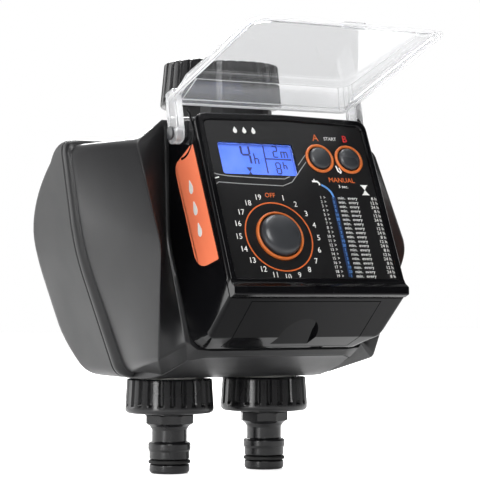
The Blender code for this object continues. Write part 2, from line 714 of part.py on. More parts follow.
def scoop_mesh():
    """Finger scoop: a D-shaped pocket across the bend of the underside, with a flat sloping floor.

    The floor is flush at the straight edge and sinks slowly towards the top of the arch.
    """
    edge_n, top_n = -31.6, -14.2
    outline = [(-8.2, edge_n)]
    for k in range(9):
        angle = math.pi * k / 8
        outline.append((-8.2 * math.cos(angle), -24.5 + (top_n + 24.5) * math.sin(angle)))
    outline.append((8.2, edge_n))
    bm = bmesh.new()
    bridge(bm, [[(u, -40.0, n) for u, n in outline],
                [(u, -30.75 + 4.2 * (n - edge_n) / (top_n - edge_n), n) for u, n in outline]])
    return bm


def make_leads(mats, panel, root):
    """Two-core leads from the coils to the circuit board, through the case's back."""
    for side, sign in SIDES:
        curve = bpy.data.curves.new(f"coil_lead_{side}", "CURVE")
        curve.dimensions = "3D"
        curve.bevel_depth = 0.9 * MM
        curve.bevel_resolution = 1
        curve.use_fill_caps = True
        start, end = Vector((sign * 14.0, -5.5, 107.5)), Vector((sign * 2.6, -56.2, 107.0))
        route = [start, start + Vector((-sign * 3, -8, 2)), end + Vector((0, 30, 0)), end]
        spline = curve.splines.new("POLY")
        steps = 12
        spline.points.add(steps)
        for i in range(steps + 1):
            t = i / steps
            p = (route[0] * (1 - t) ** 3 + route[1] * 3 * t * (1 - t) ** 2
                 + route[2] * 3 * t * t * (1 - t) + route[3] * t ** 3)
            spline.points[i].co = (*(p * MM), 1)
        lead = bpy.data.objects.new(f"coil_lead_{side}", curve)
        bpy.context.collection.objects.link(lead)
        curve.materials.append(mats["rubber"])
        lead.parent = root


def make_labels(mats, panel):
    """Coloured label on each side wall of the case."""
    outline = round_corners([(-7.6, -5.2, 1.0), (-3.6, -22.4, 6.0), (40.8, -22.9, 3.0), (41.6, -6.0, 1.0)])
    for side, sign in SIDES:
        low, high = sorted((sign * (PANEL_HALF + 0.05), sign * (PANEL_HALF + 0.35)))
        finish(f"side_label_{side}", prism(outline, low, high), mats["orange"], panel)


# ---------------------------------------------------------------- clear cover
def cover_ring(half, near, far, h_near, h_side, h_far, near_bend, far_bend):
    """A rounded ring of the cover: (x, e, h) with its height eased from the near end to the far end."""
    outline = round_corners([(half, near, near_bend), (half, far, far_bend), (-half, far, far_bend),
                             (-half, near, near_bend)], 4)
    ring = []
    for x, e in outline:
        share = min(1.0, max(0.0, (e - near) / 9.0))
        along = (e - near) / (far - near)
        side = h_side + (h_far - h_side) * along
        ring.append((x, e, h_near + (side - h_near) * share))
    return ring


def make_cover(mats, hinge):
    """A shallow tray: window, flared walls and rim, then the same rings again one wall thickness inside."""
    under = 22.0 - COVER_THICK
    sections = ((36.8, 4.9, 62.8, 22.0, 22.0, 22.0),
                (37.6, 4.0, 63.8, 21.2, 21.2, 21.4),
                (39.6, -2.0, 70.0, 15.2, 16.8, 18.4),
                (41.6, -3.9, 71.8, 13.7, 15.4, 17.6),
                (40.4, -2.6, 70.6, 13.5, 15.2, 17.4),
                (38.2, -0.6, 68.6, 15.2, 16.4, 18.0),
                (36.2, 5.6, 62.2, 20.2, 20.2, 20.2),
                (35.6, 6.2, 61.6, under, under, under))
    bm = bmesh.new()
    bridge(bm, [cover_ring(*section, 5, 7) for section in sections])
    cover = finish("transparent_cover", bm, mats["clear"], hinge)
    for side, sign in SIDES:
        arm = round_corners([(-4.0, -4.0, 3.8), (4.0, -4.0, 3.8), (5.5, 17.0, 1), (-1.5, 17.0, 1)])
        low, high = sorted((sign * 38.9, sign * 42.5))
        join(cover, finish(f"arm_{side}", prism(arm, low, high), None, hinge))
        cut(cover, finish(f"arm_hole_{side}", rod(1.7, 36, 46, 12), None, hinge, (0, 0, 0),
                          (0, math.radians(90) * sign, 0)))
    tab = finish("latch_tab", box((-5, 69.6, 16.2), (5, 71.6, 19.0)), None, hinge)
    join(cover, tab)
    return cover


def make_hinge_pins(mats, root):
    for side, sign in SIDES:
        bm = turned([(0, 33.0), (1.4, 33.0), (1.4, 42.8), (2.6, 42.8), (2.6, 43.6), (0, 43.6)], 12)
        finish(f"hinge_pin_{side}", bm, mats["key"], root, (0, HINGE_Y, HINGE_Z),
               (0, math.radians(90) * sign, 0))


def main():
    clear_scene()
    mats = make_materials()
    root = empty("timer_frame", (0, -INLET_Y, -SEAT_Z))
    panel = empty("panel_frame", PANEL_CENTRE, (math.radians(90) - PANEL_TILT, 0, 0), root)
    hinge = empty("cover_hinge", (0, HINGE_Y, HINGE_Z), (COVER_TILT, 0, math.radians(180)), root)
    make_front_housing(mats, root)
    make_rear_housing(mats, root)
    make_housing_screws(mats, root)
    make_inlet(mats, root)
    make_manifold(mats, root)
    for side, sign in SIDES:
        make_valve(side, sign, mats, root)
        make_outlet(side, sign, mats, root)
    make_case(mats, panel)
    make_fascia(mats, panel)
    make_display(mats, panel)
    make_dial(mats, panel)
    for key, u in BUTTONS:
        make_button(key, u, mats, panel)
    make_board(mats, panel)
    make_battery(mats, panel)
    make_leads(mats, panel, root)
    make_labels(mats, panel)
    make_cover(mats, hinge)
    make_hinge_pins(mats, root)


main()
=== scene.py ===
"""Looks of a two-outlet watering timer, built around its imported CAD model.

Lengths are in millimetres until a mesh is placed. Three frames are used. The housing frame has its heights
above the tips of the outlet nipples, the panel frame has u along X, v up along the sloping panel and n out
of it, and the cover frame has e forward along the clear window and h away from the panel.
"""
import json
import math

import bmesh
import bpy
from mathutils import Matrix, Vector


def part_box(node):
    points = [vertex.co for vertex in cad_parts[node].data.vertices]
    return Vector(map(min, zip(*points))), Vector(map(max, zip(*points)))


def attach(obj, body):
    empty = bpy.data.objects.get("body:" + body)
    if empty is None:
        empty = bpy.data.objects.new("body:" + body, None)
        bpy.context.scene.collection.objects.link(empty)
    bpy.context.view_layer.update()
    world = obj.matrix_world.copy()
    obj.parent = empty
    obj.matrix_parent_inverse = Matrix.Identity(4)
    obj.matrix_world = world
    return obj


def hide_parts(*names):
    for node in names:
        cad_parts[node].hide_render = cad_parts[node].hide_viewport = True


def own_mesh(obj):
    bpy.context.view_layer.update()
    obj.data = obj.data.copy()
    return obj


MM = 0.001
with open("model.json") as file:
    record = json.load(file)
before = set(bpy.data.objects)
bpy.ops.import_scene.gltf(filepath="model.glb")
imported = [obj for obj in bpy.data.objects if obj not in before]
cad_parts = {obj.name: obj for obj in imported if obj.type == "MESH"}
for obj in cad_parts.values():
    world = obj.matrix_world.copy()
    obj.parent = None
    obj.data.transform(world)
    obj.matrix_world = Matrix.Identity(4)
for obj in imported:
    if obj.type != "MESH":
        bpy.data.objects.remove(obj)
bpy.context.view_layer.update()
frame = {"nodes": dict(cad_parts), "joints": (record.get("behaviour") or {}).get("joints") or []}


def joint(name):
    return next(j for j in frame["joints"] if j["name"] == name)


# ---- frames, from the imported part
nipple_low, nipple_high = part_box("outlet_nipple_left")
HOUSING = Matrix.Translation((0, (nipple_low.y + nipple_high.y) / 2, nipple_low.z)) @ Matrix.Scale(MM, 4)
OUTLET_X = -(nipple_low.x + nipple_high.x) / 2 / MM
INLET_Y = -(nipple_low.y + nipple_high.y) / 2 / MM
DIAL_U, BUTTON_V = -13.0, 34.0
BUTTONS = (("a", 12.9), ("b", 26.1))
DISPLAY = (-31.0, 2.0, 26.0, 40.0)             # u from and to, v from and to
PANEL_HALF, PANEL_TOP, PANEL_BOTTOM = 38.2, 52.0, -19.0
FLOOR_N = -0.9                # depth of the printed face inside the front frame
COVER_TILT = math.radians(16.0)
SIDES = (("left", -1), ("right", 1))


def frame_matrix(x_axis, y_axis, z_axis, origin):
    """A matrix from millimetres in a local frame to metres in the world."""
    turn = Matrix((x_axis, y_axis, z_axis)).transposed().to_4x4()
    return Matrix.Translation(origin) @ turn @ Matrix.Scale(MM, 4)


def panel_frame():
    out = Vector(joint("dial_turn")["axis"]).normalized()
    right = Vector((1, 0, 0))
    return frame_matrix(right, out.cross(right), out,
                        Vector(joint("dial_turn")["pos_m"]) - right * DIAL_U * MM)


def cover_frame():
    forward = Vector((0, -math.cos(COVER_TILT), math.sin(COVER_TILT)))
    up = Vector((0, math.sin(COVER_TILT), math.cos(COVER_TILT)))
    return frame_matrix(Vector((-1, 0, 0)), forward, up, Vector(joint("cover_hinge")["pos_m"]))


PANEL = panel_frame()
COVER = cover_frame()


# ---- materials
def set_inputs(node, values):
    for socket, value in values.items():
        node.inputs[socket].default_value = value


def shader_of(mat):
    return mat.node_tree.nodes["Principled BSDF"]


def new_material(name, colour, roughness, metallic=0.0, specular=0.5):
    mat = bpy.data.materials.new(name)
    mat.use_nodes = True
    set_inputs(shader_of(mat), {"Base Color": (*colour, 1.0), "Roughness": roughness, "Metallic": metallic,
                                "Specular IOR Level": specular})
    return mat


def add_noise(mat, scale, detail=2.0):
    """A noise texture in object coordinates, with its features about 1/scale metres wide."""
    tree = mat.node_tree
    coordinates = tree.nodes.new("ShaderNodeTexCoord")
    noise = tree.nodes.new("ShaderNodeTexNoise")
    set_inputs(noise, {"Scale": scale, "Detail": detail})
    tree.links.new(coordinates.outputs["Object"], noise.inputs["Vector"])
    return noise.outputs["Fac"]


def map_range(tree, source, taken, given):
    """Maps a number from one range to another, and keeps it inside."""
    spread = tree.nodes.new("ShaderNodeMapRange")
    set_inputs(spread, {"From Min": taken[0], "From Max": taken[1], "To Min": given[0], "To Max": given[1]})
    tree.links.new(source, spread.inputs["Value"])
    return spread.outputs["Result"]


def add_grain(mat, scale, depth):
    """Moulded surface texture as a bump."""
    tree = mat.node_tree
    bump = tree.nodes.new("ShaderNodeBump")
    set_inputs(bump, {"Strength": 0.6, "Distance": depth * MM})
    tree.links.new(add_noise(mat, scale, 3.0), bump.inputs["Height"])
    tree.links.new(bump.outputs["Normal"], shader_of(mat).inputs["Normal"])


def vary(mat, socket, scale, low, high):
    """Slow variation of a number across the surface."""
    number = map_range(mat.node_tree, add_noise(mat, scale), (0.35, 0.65), (low, high))
    mat.node_tree.links.new(number, shader_of(mat).inputs[socket])


def vary_colour(mat, scale, first, second):
    tree = mat.node_tree
    ramp = tree.nodes.new("ShaderNodeValToRGB")
    for element, place, colour in zip(ramp.color_ramp.elements, (0.38, 0.62), (first, second)):
        element.position = place
        element.color = (*colour, 1.0)
    tree.links.new(add_noise(mat, scale), ramp.inputs["Fac"])
    tree.links.new(ramp.outputs["Color"], shader_of(mat).inputs["Base Color"])


def grained_plastic(name, dark, light, rough_low, rough_high, grain=0.02, grain_scale=2600.0, specular=0.5):
    mat = new_material(name, dark, rough_low, specular=specular)
    vary_colour(mat, 60.0, dark, light)
    vary(mat, "Roughness", 45.0, rough_low, rough_high)
    add_grain(mat, grain_scale, grain)
    return mat


def clear_plastic():
    """Moulded clear plastic: polished in the window, hazier in the drafted walls round it."""
    mat = new_material("clear_plastic", (0.95, 0.955, 0.965), 0.03)
    tree = mat.node_tree
    set_inputs(shader_of(mat), {"IOR": 1.4})
    vary(mat, "Roughness", 30.0, 0.015, 0.05)
    up = Vector((0, math.sin(COVER_TILT), math.cos(COVER_TILT)))
    coordinates = tree.nodes.new("ShaderNodeTexCoord")
    height = tree.nodes.new("ShaderNodeVectorMath")
    height.operation = "DOT_PRODUCT"
    height.inputs[1].default_value = up
    tree.links.new(coordinates.outputs["Object"], height.inputs[0])
    hinge = up.dot(Vector(joint("cover_hinge")["pos_m"]))
    clearness = map_range(tree, height.outputs["Value"], (hinge + 0.0190, hinge + 0.0204), (0.74, 0.96))
    tree.links.new(clearness, shader_of(mat).inputs["Transmission Weight"])
    return mat


def glass_material():
    mat = new_material("display_glass", (0.97, 0.98, 1.0), 0.02)
    set_inputs(shader_of(mat), {"Transmission Weight": 1.0, "IOR": 1.25})
    vary(mat, "Roughness", 60.0, 0.01, 0.03)
    return mat


def edge_material():
    """The moulded edges of the clear cover with a painted highlight: drawn whitish and glowing a little where
    real light would gather.
    """
    mat = new_material("clear_edge_painted_glow", (0.80, 0.80, 0.81), 0.12)
    # painted highlight: a white glow stands in for the light caught in the edges
    set_inputs(shader_of(mat), {"Transmission Weight": 0.2, "Emission Color": (1.0, 1.0, 1.0, 1.0),
                                "Emission Strength": 0.2})
    vary(mat, "Roughness", 120.0, 0.08, 0.2)
    return mat


def display_material():
    mat = new_material("display_blue_painted_glow", (0.10, 0.22, 0.95), 0.35)
    vary_colour(mat, 90.0, (0.085, 0.215, 1.0), (0.13, 0.25, 1.0))
    # painted glow: emission makes the blue display shine, though nothing lights it
    set_inputs(shader_of(mat), {"Emission Color": (0.09, 0.21, 1.0, 1.0), "Emission Strength": 0.22})
    return mat


def steel_material():
    mat = new_material("bright_steel", (0.62, 0.62, 0.63), 0.3, metallic=1.0)
    vary(mat, "Roughness", 200.0, 0.22, 0.38)
    add_grain(mat, 1500.0, 0.006)
    return mat


def print_material(name, colour):
    mat = new_material(name, colour, 0.45)
    lighter = tuple(min(1.0, c * 1.12) for c in colour)
    vary_colour(mat, 400.0, colour, lighter)
    return mat


MATS = {
    "housing": grained_plastic("housing_plastic", (0.012, 0.012, 0.013), (0.015, 0.015, 0.016), 0.35, 0.41,
                              0.05, 1900.0, 0.4),
    "fitting": grained_plastic("fitting_plastic", (0.010, 0.010, 0.011), (0.013, 0.013, 0.014), 0.22, 0.28,
                               0.010, specular=0.6),
    "gloss": grained_plastic("gloss_black", (0.0035, 0.0035, 0.0042), (0.0045, 0.0045, 0.0052), 0.06, 0.10,
                             0.0005, 400.0, 0.15),
    "face": grained_plastic("printed_face", (0.0080, 0.0080, 0.0085), (0.0100, 0.0100, 0.0105), 0.30, 0.36,
                            0.004, 2000.0, 0.35),
    "key": grained_plastic("key_plastic", (0.030, 0.032, 0.036), (0.040, 0.042, 0.046), 0.26, 0.34, 0.006),
    "orange": grained_plastic("orange_ring", (0.56, 0.130, 0.022), (0.62, 0.150, 0.028), 0.34, 0.42, 0.004),
    "label": grained_plastic("orange_label", (1.0, 0.235, 0.110), (1.0, 0.245, 0.115), 0.38, 0.46, 0.004),
    "seal": grained_plastic("seal_rubber", (0.010, 0.010, 0.010), (0.014, 0.014, 0.014), 0.55, 0.65, 0.008),
    "lead": grained_plastic("lead_jacket", (0.012, 0.012, 0.012), (0.018, 0.018, 0.018), 0.5, 0.6, 0.006),
    "clear": clear_plastic(),
    "glass": glass_material(),
    "edge": edge_material(),
    "display": display_material(),
    "board": grained_plastic("board_green", (0.015, 0.095, 0.040), (0.020, 0.120, 0.050), 0.4, 0.5, 0.01),
    "valve": grained_plastic("valve_plastic", (0.66, 0.66, 0.62), (0.72, 0.72, 0.68), 0.4, 0.5, 0.01),
    "coil": grained_plastic("coil_wrap", (0.30, 0.085, 0.035), (0.38, 0.110, 0.045), 0.35, 0.5, 0.02),
    "jacket": grained_plastic("battery_jacket", (0.09, 0.11, 0.15), (0.11, 0.13, 0.17), 0.3, 0.4, 0.004),
    "steel": steel_material(),
    "mesh": steel_material(),
    "white": print_material("white_print", (0.80, 0.80, 0.78)),
    "grey": print_material("grey_print", (0.34, 0.34, 0.34)),
    "orange_ink": print_material("orange_print", (0.60, 0.125, 0.025)),
    "red_ink": print_material("red_print", (0.60, 0.020, 0.020)),
    "blue_ink": print_material("blue_print", (0.010, 0.030, 0.10)),
    "blue_light": print_material("light_blue_print", (0.10, 0.27, 0.62)),
    "segment": print_material("display_segment", (0.012, 0.020, 0.16)),
}


# ---- mesh helpers
def link(obj):
    bpy.context.scene.collection.objects.link(obj)


def settle(obj):
    """Applies the modifiers of an object to its mesh."""
    bpy.context.view_layer.update()
    evaluated = obj.evaluated_get(bpy.context.evaluated_depsgraph_get())
    mesh = bpy.data.meshes.new_from_object(evaluated)
    obj.modifiers.clear()
    obj.data = mesh


def new_object(name, bm, space):
    """An object in the scene from a mesh made in a local frame."""
    bmesh.ops.recalc_face_normals(bm, faces=bm.faces)
    bm.transform(space)
    mesh = bpy.data.meshes.new(name)
    bm.to_mesh(mesh)
    bm.free()
    obj = bpy.data.objects.new(name, mesh)
    link(obj)
    return obj


def put(name, bm, space, mat, body="timer", nodes=(), slot=None, sharp=35, bevel=0.0, tools=()):
    """Places a mesh made in a local frame, rides it on a body and hides the CAD nodes it stands for."""
    obj = new_object(name, bm, space)
    for cutter in tools:
        cut = obj.modifiers.new(cutter.name, "BOOLEAN")
        cut.operation = "DIFFERENCE"
        cut.solver = "EXACT"
        cut.object = cutter
    if tools:
        settle(obj)
    if bevel:
        rounding = obj.modifiers.new("edges", "BEVEL")
        rounding.width = bevel * MM
        rounding.segments = 3
        rounding.limit_method = "ANGLE"
        rounding.angle_limit = math.radians(30)
        settle(obj)
    for cutter in tools:
        bpy.data.objects.remove(cutter)
    obj.data.shade_smooth()
    obj.data.set_sharp_from_angle(angle=math.radians(sharp))
    weighting = obj.modifiers.new("normals", "WEIGHTED_NORMAL")
    weighting.keep_sharp = True
    weighting.weight = 100
    settle(obj)
    obj.data.materials.clear()
    obj.data.materials.append(MATS[mat])
    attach(obj, body)
    if nodes:
        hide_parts(*nodes)
    return obj


def tool(bm, space):
    """A cutting tool for put."""
    return new_object("tool", bm, space)


def bridge(bm, rings, caps=True, loop=False):
    """Quads between rings of equal length, with flat ends, or closed into a loop of rings."""
    count = len(rings[0])
    rows = [[bm.verts.new(point) for point in ring] for ring in rings]
    pairs = list(zip(rows, rows[1:]))
    if loop:
        pairs.append((rows[-1], rows[0]))
    for low, high in pairs:
        for i in range(count):
            j = (i + 1) % count
            bm.faces.new((low[i], low[j], high[j], high[i]))
    if caps and not loop:
        bm.faces.new(rows[0])
        bm.faces.new(rows[-1])
    return rows


def ladder_cap(bm, row, least=0.05):
    """Closes a ring that is symmetric about X = 0 with strips across it."""
    half = len(row) // 2
    rungs = [0]
    for i in range(1, half):
        if abs(row[i].co.z - row[rungs[-1]].co.z) > least:
            rungs.append(i)
    rungs[-1] = half - 1
    for start, end in zip(rungs, rungs[1:]):
        right = row[start:end + 1]
        left = [row[-1 - i] for i in range(end, start - 1, -1)]
        bm.faces.new(right + left)


def loft(rings, loop=False):
    bm = bmesh.new()
    bridge(bm, rings, loop=loop)
    return bm


def prism(outline, low, high):
    return loft([[(x, p[0], p[1]) for p in outline] for x in (low, high)])


def plate(outline, low, high):
    return loft([[(p[0], p[1], z) for p in outline] for z in (low, high)])


def box(low, high):
    return plate([(low[0], low[1]), (high[0], low[1]), (high[0], high[1]), (low[0], high[1])],
                 low[2], high[2])


def bend(here, before, after, steps):
    """A smooth turn round a corner, from one offset from it to another."""
    shares = [k / steps for k in range(steps + 1)]
    return [here + before * (1 - t) ** 2 + after * t ** 2 for t in shares]


def round_corners(outline, steps=6):
    """Rounds corners given as (x, y, radius), each with a run of points on a smooth bend."""
    points = []
    for i, (x, y, radius) in enumerate(outline):
        here = Vector((x, y))
        if radius == 0:
            points.append(tuple(here))
            continue
        before = (Vector(outline[i - 1][:2]) - here).normalized() * radius
        after = (Vector(outline[(i + 1) % len(outline)][:2]) - here).normalized() * radius
        points += [tuple(p) for p in bend(here, before, after, steps)]
    return points


def rectangle(u0, u1, v0, v1, radius, steps=5):
    return round_corners([(u0, v0, radius), (u1, v0, radius), (u1, v1, radius), (u0, v1, radius)], steps)


def circle(radius, count, centre=(0.0, 0.0)):
    return [(centre[0] + radius * math.cos(2 * math.pi * i / count),
             centre[1] + radius * math.sin(2 * math.pi * i / count)) for i in range(count)]


def smooth_section(profile, radius=0.25, steps=3):
    """Rounds each corner of a (radius, height) section by up to the given length."""
    points = []
    for i, (x, y) in enumerate(profile):
        here = Vector((x, y))
        if x == 0 or i in (0, len(profile) - 1) and profile[0][0] == 0:
            points.append((x, y))
            continue
        before = Vector(profile[i - 1]) - here
        after = Vector(profile[(i + 1) % len(profile)]) - here
        before = before.normalized() * min(radius, before.length * 0.45)
        after = after.normalized() * min(radius, after.length * 0.45)
        points += [tuple(p) for p in bend(here, before, after, steps)]
    return points


def turned(profile, count=64, centre=(0.0, 0.0)):
    """Revolves a closed section of (radius, height) points about an upright axis."""
    bm = bmesh.new()
    rows = []
    for radius, z in profile:
        if radius == 0:
            rows.append([bm.verts.new((*centre, z))])
        else:
            rows.append([bm.verts.new((x, y, z)) for x, y in circle(radius, count, centre)])
    pairs = list(zip(rows, rows[1:]))
    if profile[0][0] != 0:
        pairs.append((rows[-1], rows[0]))
    for low, high in pairs:
        for i in range(count):
            j = (i + 1) % count
            corners = [low[i % len(low)], low[j % len(low)], high[j % len(high)], high[i % len(high)]]
            bm.faces.new(list(dict.fromkeys(corners)))
    return bm


def ribbon(points, width, low, high):
    """A flat strip of constant width along a line of (u, v) points."""
    left, right = [], []
    for i, point in enumerate(points):
        here = Vector(point)
        ahead = Vector(points[min(i + 1, len(points) - 1)])
        behind = Vector(points[max(i - 1, 0)])
        along = (ahead - behind).normalized()
        across = Vector((-along.y, along.x)) * width / 2
        left.append(tuple(here + across))
        right.append(tuple(here - across))
    return loft([[(*a, low), (*b, low), (*b, high), (*a, high)] for a, b in zip(left, right)])


def wire(points, radius, closed):
    """A thin round bead along a line of points in space."""
    points = [Vector(p) for p in points]
    count = len(points)
    rings = []
    for i, point in enumerate(points):
        ahead = points[(i + 1) % count] if closed else points[min(i + 1, count - 1)]
        behind = points[i - 1] if closed else points[max(i - 1, 0)]
        along = (ahead - behind).normalized()
        across = along.cross(Vector((0, 0, 1))).normalized()
        over = across.cross(along)
        rings.append([point + across * x + over * y for x, y in circle(radius, 8)])
    return loft(rings, closed)


def merge(target, source):
    """Adds a bmesh to another one."""
    mesh = bpy.data.meshes.new("part")
    source.to_mesh(mesh)
    source.free()
    target.from_mesh(mesh)
    bpy.data.meshes.remove(mesh)


def curve_through(points, steps=6):
    """A smooth line through (x, y) points."""
    line = []
    for i in range(len(points) - 1):
        p0 = Vector(points[max(i - 1, 0)])
        p1 = Vector(points[i])
        p2 = Vector(points[i + 1])
        p3 = Vector(points[min(i + 2, len(points) - 1)])
        for k in range(steps):
            t = k / steps
            line.append(0.5 * (2 * p1 + (p2 - p0) * t + (2 * p0 - 5 * p1 + 4 * p2 - p3) * t * t
                               + (3 * p1 - p0 - 3 * p2 + p3) * t ** 3))
    line.append(Vector(points[-1]))
    return [tuple(p) for p in line]


def soften(rings, radii, steps=4):
    """Rounds a loft along its length: each inner ring becomes a smooth turn of rings within its radius."""
    result = [rings[0]]
    for i in range(1, len(rings) - 1):
        radius = radii[i - 1] if isinstance(radii, (list, tuple)) else radii
        if radius == 0:
            result.append(rings[i])
            continue
        turn = [[] for _ in range(steps + 1)]
        for before, here, after in zip(rings[i - 1], rings[i], rings[i + 1]):
            here = Vector(here)
            back, ahead = Vector(before) - here, Vector(after) - here
            back = back.normalized() * min(radius, back.length * 0.42)
            ahead = ahead.normalized() * min(radius, ahead.length * 0.42)
            for ring, p in zip(turn, bend(here, back, ahead, steps)):
                ring.append(p)
        result += turn
    return result + [rings[-1]]


# ---- housing
HOUSING_TOP, HOUSING_BOTTOM = 133.5, 38.6
BROW_Z, BULGE = 132.2, 1.1
WALL = 2.6
SIDE_RUNS = (0, 10, 10, 0, 0)
SCREWS = ((46.0, 88.0), (40.5, 66.0))
SCREW_SEAT_Y = 46.3
SPIGOT_R, FIT = 13.0, 0.3
NECK_ROOM = (21.3, 110, 150)     # radius, low and high of the bore round the inlet neck
CHIN_THICK = 3.0


def half_ring(corners, steps=7):
    """A ring that is symmetric about X = 0, from corners (x, y, z, radius) on the right, top to bottom."""
    right = []
    for i, (x, y, z, radius) in enumerate(corners):
        here = Vector((x, y, z))
        turn = [here]
        if radius:
            before = (Vector(corners[i - 1][:3]) - here).normalized() * radius
            after = (Vector(corners[i + 1][:3]) - here).normalized() * radius
            turn = bend(here, before, after, steps)
        runs = SIDE_RUNS[i - 1] if i else 0
        for k in range(runs):
            right.append(right[-1].lerp(turn[0], 1.0 / (runs - k + 1)))
        right += turn
    return right + [Vector((-p.x, p.y, p.z)) for p in reversed(right)]


def seam_ring(y, inset=0.0):
    return half_ring([(40.0, y, HOUSING_TOP - inset, 0), (70.38 - inset, y, HOUSING_TOP - inset, 6),
                      (64.3 - inset, y, 90.0, 12), (46.3 - inset, y, HOUSING_BOTTOM + 1.2 + inset, 4.5),
                      (37.0, y, HOUSING_BOTTOM + inset, 0), (30.0, y, HOUSING_BOTTOM + inset, 0)])


def ridge_ring():
    return half_ring([(39.6, -28.0, 140.4, 0), (54.0, -35.5, 130.6, 3), (54.6, -58.5, 90.5, 5),
                      (48.4, -43.4, 47.2, 1.5), (38.3, -26.1, 40.9, 0), (30.0, -25.5, 40.7, 0)])


def valley_ring():
    return half_ring([(39.2, -28.8, 139.6, 0), (39.3, -29.4, 137.4, 0.8), (39.2, -31.0, 92.5, 5),
                      (39.2, -48.4, 53.6, 1.0), (36.5, -44.1, 47.1, 0), (30.9, -49.1, 48.4, 0)])


def seat_ring():
    return half_ring([(38.2, -29.2, 138.6, 0), (38.3, -29.9, 136.8, 0.8), (38.2, -31.6, 92.5, 5),
                      (38.2, -50.4, 53.0, 1.0), (36.0, -51.6, 51.2, 0), (30.0, -51.8, 50.6, 0)])


def capped_loft(rings):
    """A loft of half rings, closed flat at the first one and with strips across the last one."""
    bm = bmesh.new()
    rows = bridge(bm, rings, caps=False)
    bm.faces.new(rows[0])
    ladder_cap(bm, rows[-1])
    return bm


def front_hollow():
    inner_ridge = half_ring([(36.5, -23.0, 130.6, 0), (49.5, -26.0, 128.4, 3), (48.0, -34.0, 90.5, 5),
                             (42.4, -34.0, 52.0, 1.5), (36.5, -24.0, 45.0, 0), (29.0, -23.5, 44.8, 0)])
    inner_wall = half_ring([(35.8, -26.0, 130.4, 0), (36.0, -26.6, 128.4, 0.8), (36.0, -28.0, 92.5, 5),
                            (36.0, -44.0, 58.0, 1.0), (34.0, -44.0, 53.4, 0), (28.5, -44.2, 53.0, 0)])
    rings = [seam_ring(2.0, WALL), seam_ring(-5.0, WALL + 1.6), inner_ridge, inner_wall]
    return tool(capped_loft(rings), HOUSING)


def chin_mesh(grow):
    """The underside plate, or with grow > 0 the tool that makes room for it."""
    rings = []
    for y, z, half in ((4.0, 38.7, 40.0), (-10.0, 38.7, 39.4), (-18.0, 39.3, 38.6), (-26.1, 40.9, 37.9),
                       (-35.0, 43.6, 37.2), (-43.8, 46.8, 36.2), (-48.6, 48.1, 30.6)):
        spare = 2.0 if grow else 0.0
        low, high, wide = z - spare, z + CHIN_THICK + spare, half + grow
        rings.append([(x, y - grow, h) for x, h in ((wide, low), (wide, high), (-wide, high), (-wide, low))])
    return loft(rings)


def back_depth(z):
    if z > 92.0:
        return 3.5 + 44.0 * (1.0 - ((z - 92.0) / (HOUSING_TOP - 92.0)) ** 2.1)
    if z < 62.0:
        return 47.5 - 14.0 * ((62.0 - z) / (62.0 - HOUSING_BOTTOM)) ** 2
    return 47.5


def back_ring(angle, corner=9.0):
    ring = []
    for p in seam_ring(0.0):
        depth = back_depth(p.z)
        radius = min(corner, 0.45 * depth)
        inset = radius * (1 - math.cos(angle))
        lift = inset * 0.6 * max(0.0, 1.0 - (p.z - HOUSING_BOTTOM) / 16.0)
        ring.append(Vector((p.x * (1.0 - inset / 62.0), depth - radius * (1 - math.sin(angle)), p.z + lift)))
    return ring


def back_rings(front, size=1.0, steps=10):
    middle = Vector((0.0, 0.0, 86.0))
    rings = [seam_ring(front / size)] + [back_ring(math.radians(90 * k / steps)) for k in range(steps + 1)]
    return [[middle + (p - middle) * size for p in ring] for ring in rings]


def upright(x, y):
    return HOUSING @ Matrix.Translation((x, y, 0))


def sideways(x, z):
    """Screw frame: local z points to the front, at a place on the back wall."""
    return HOUSING @ Matrix.Translation((x, 0, z)) @ Matrix.Rotation(math.radians(90), 4, "X")


def screw_places():
    return [(side, sideways(sign * x, z), x) for side, sign in SIDES for x, z in SCREWS]


def rod(radius, low, high, count=48):
    return plate(circle(radius, count), low, high)


def bulged(flank, ridge, share):
    """A ring on the way from the flank's groove to the ridge, a little proud of the straight line.

    The top stays flat and low until just behind the ridge.
    """
    ring = []
    for a, b in zip(flank, ridge):
        p = a.lerp(b, share)
        out = Vector((math.copysign(0.9, p.x), -0.4, 0.0)) if abs(p.x) > 41 else Vector((0, 0, 0))
        ring.append(p + out * BULGE * 4 * share * (1 - share))
    ring[0].z = ring[-1].z = flank[0].z + (BROW_Z - flank[0].z) * min(1.0, share / 0.3)
    return ring


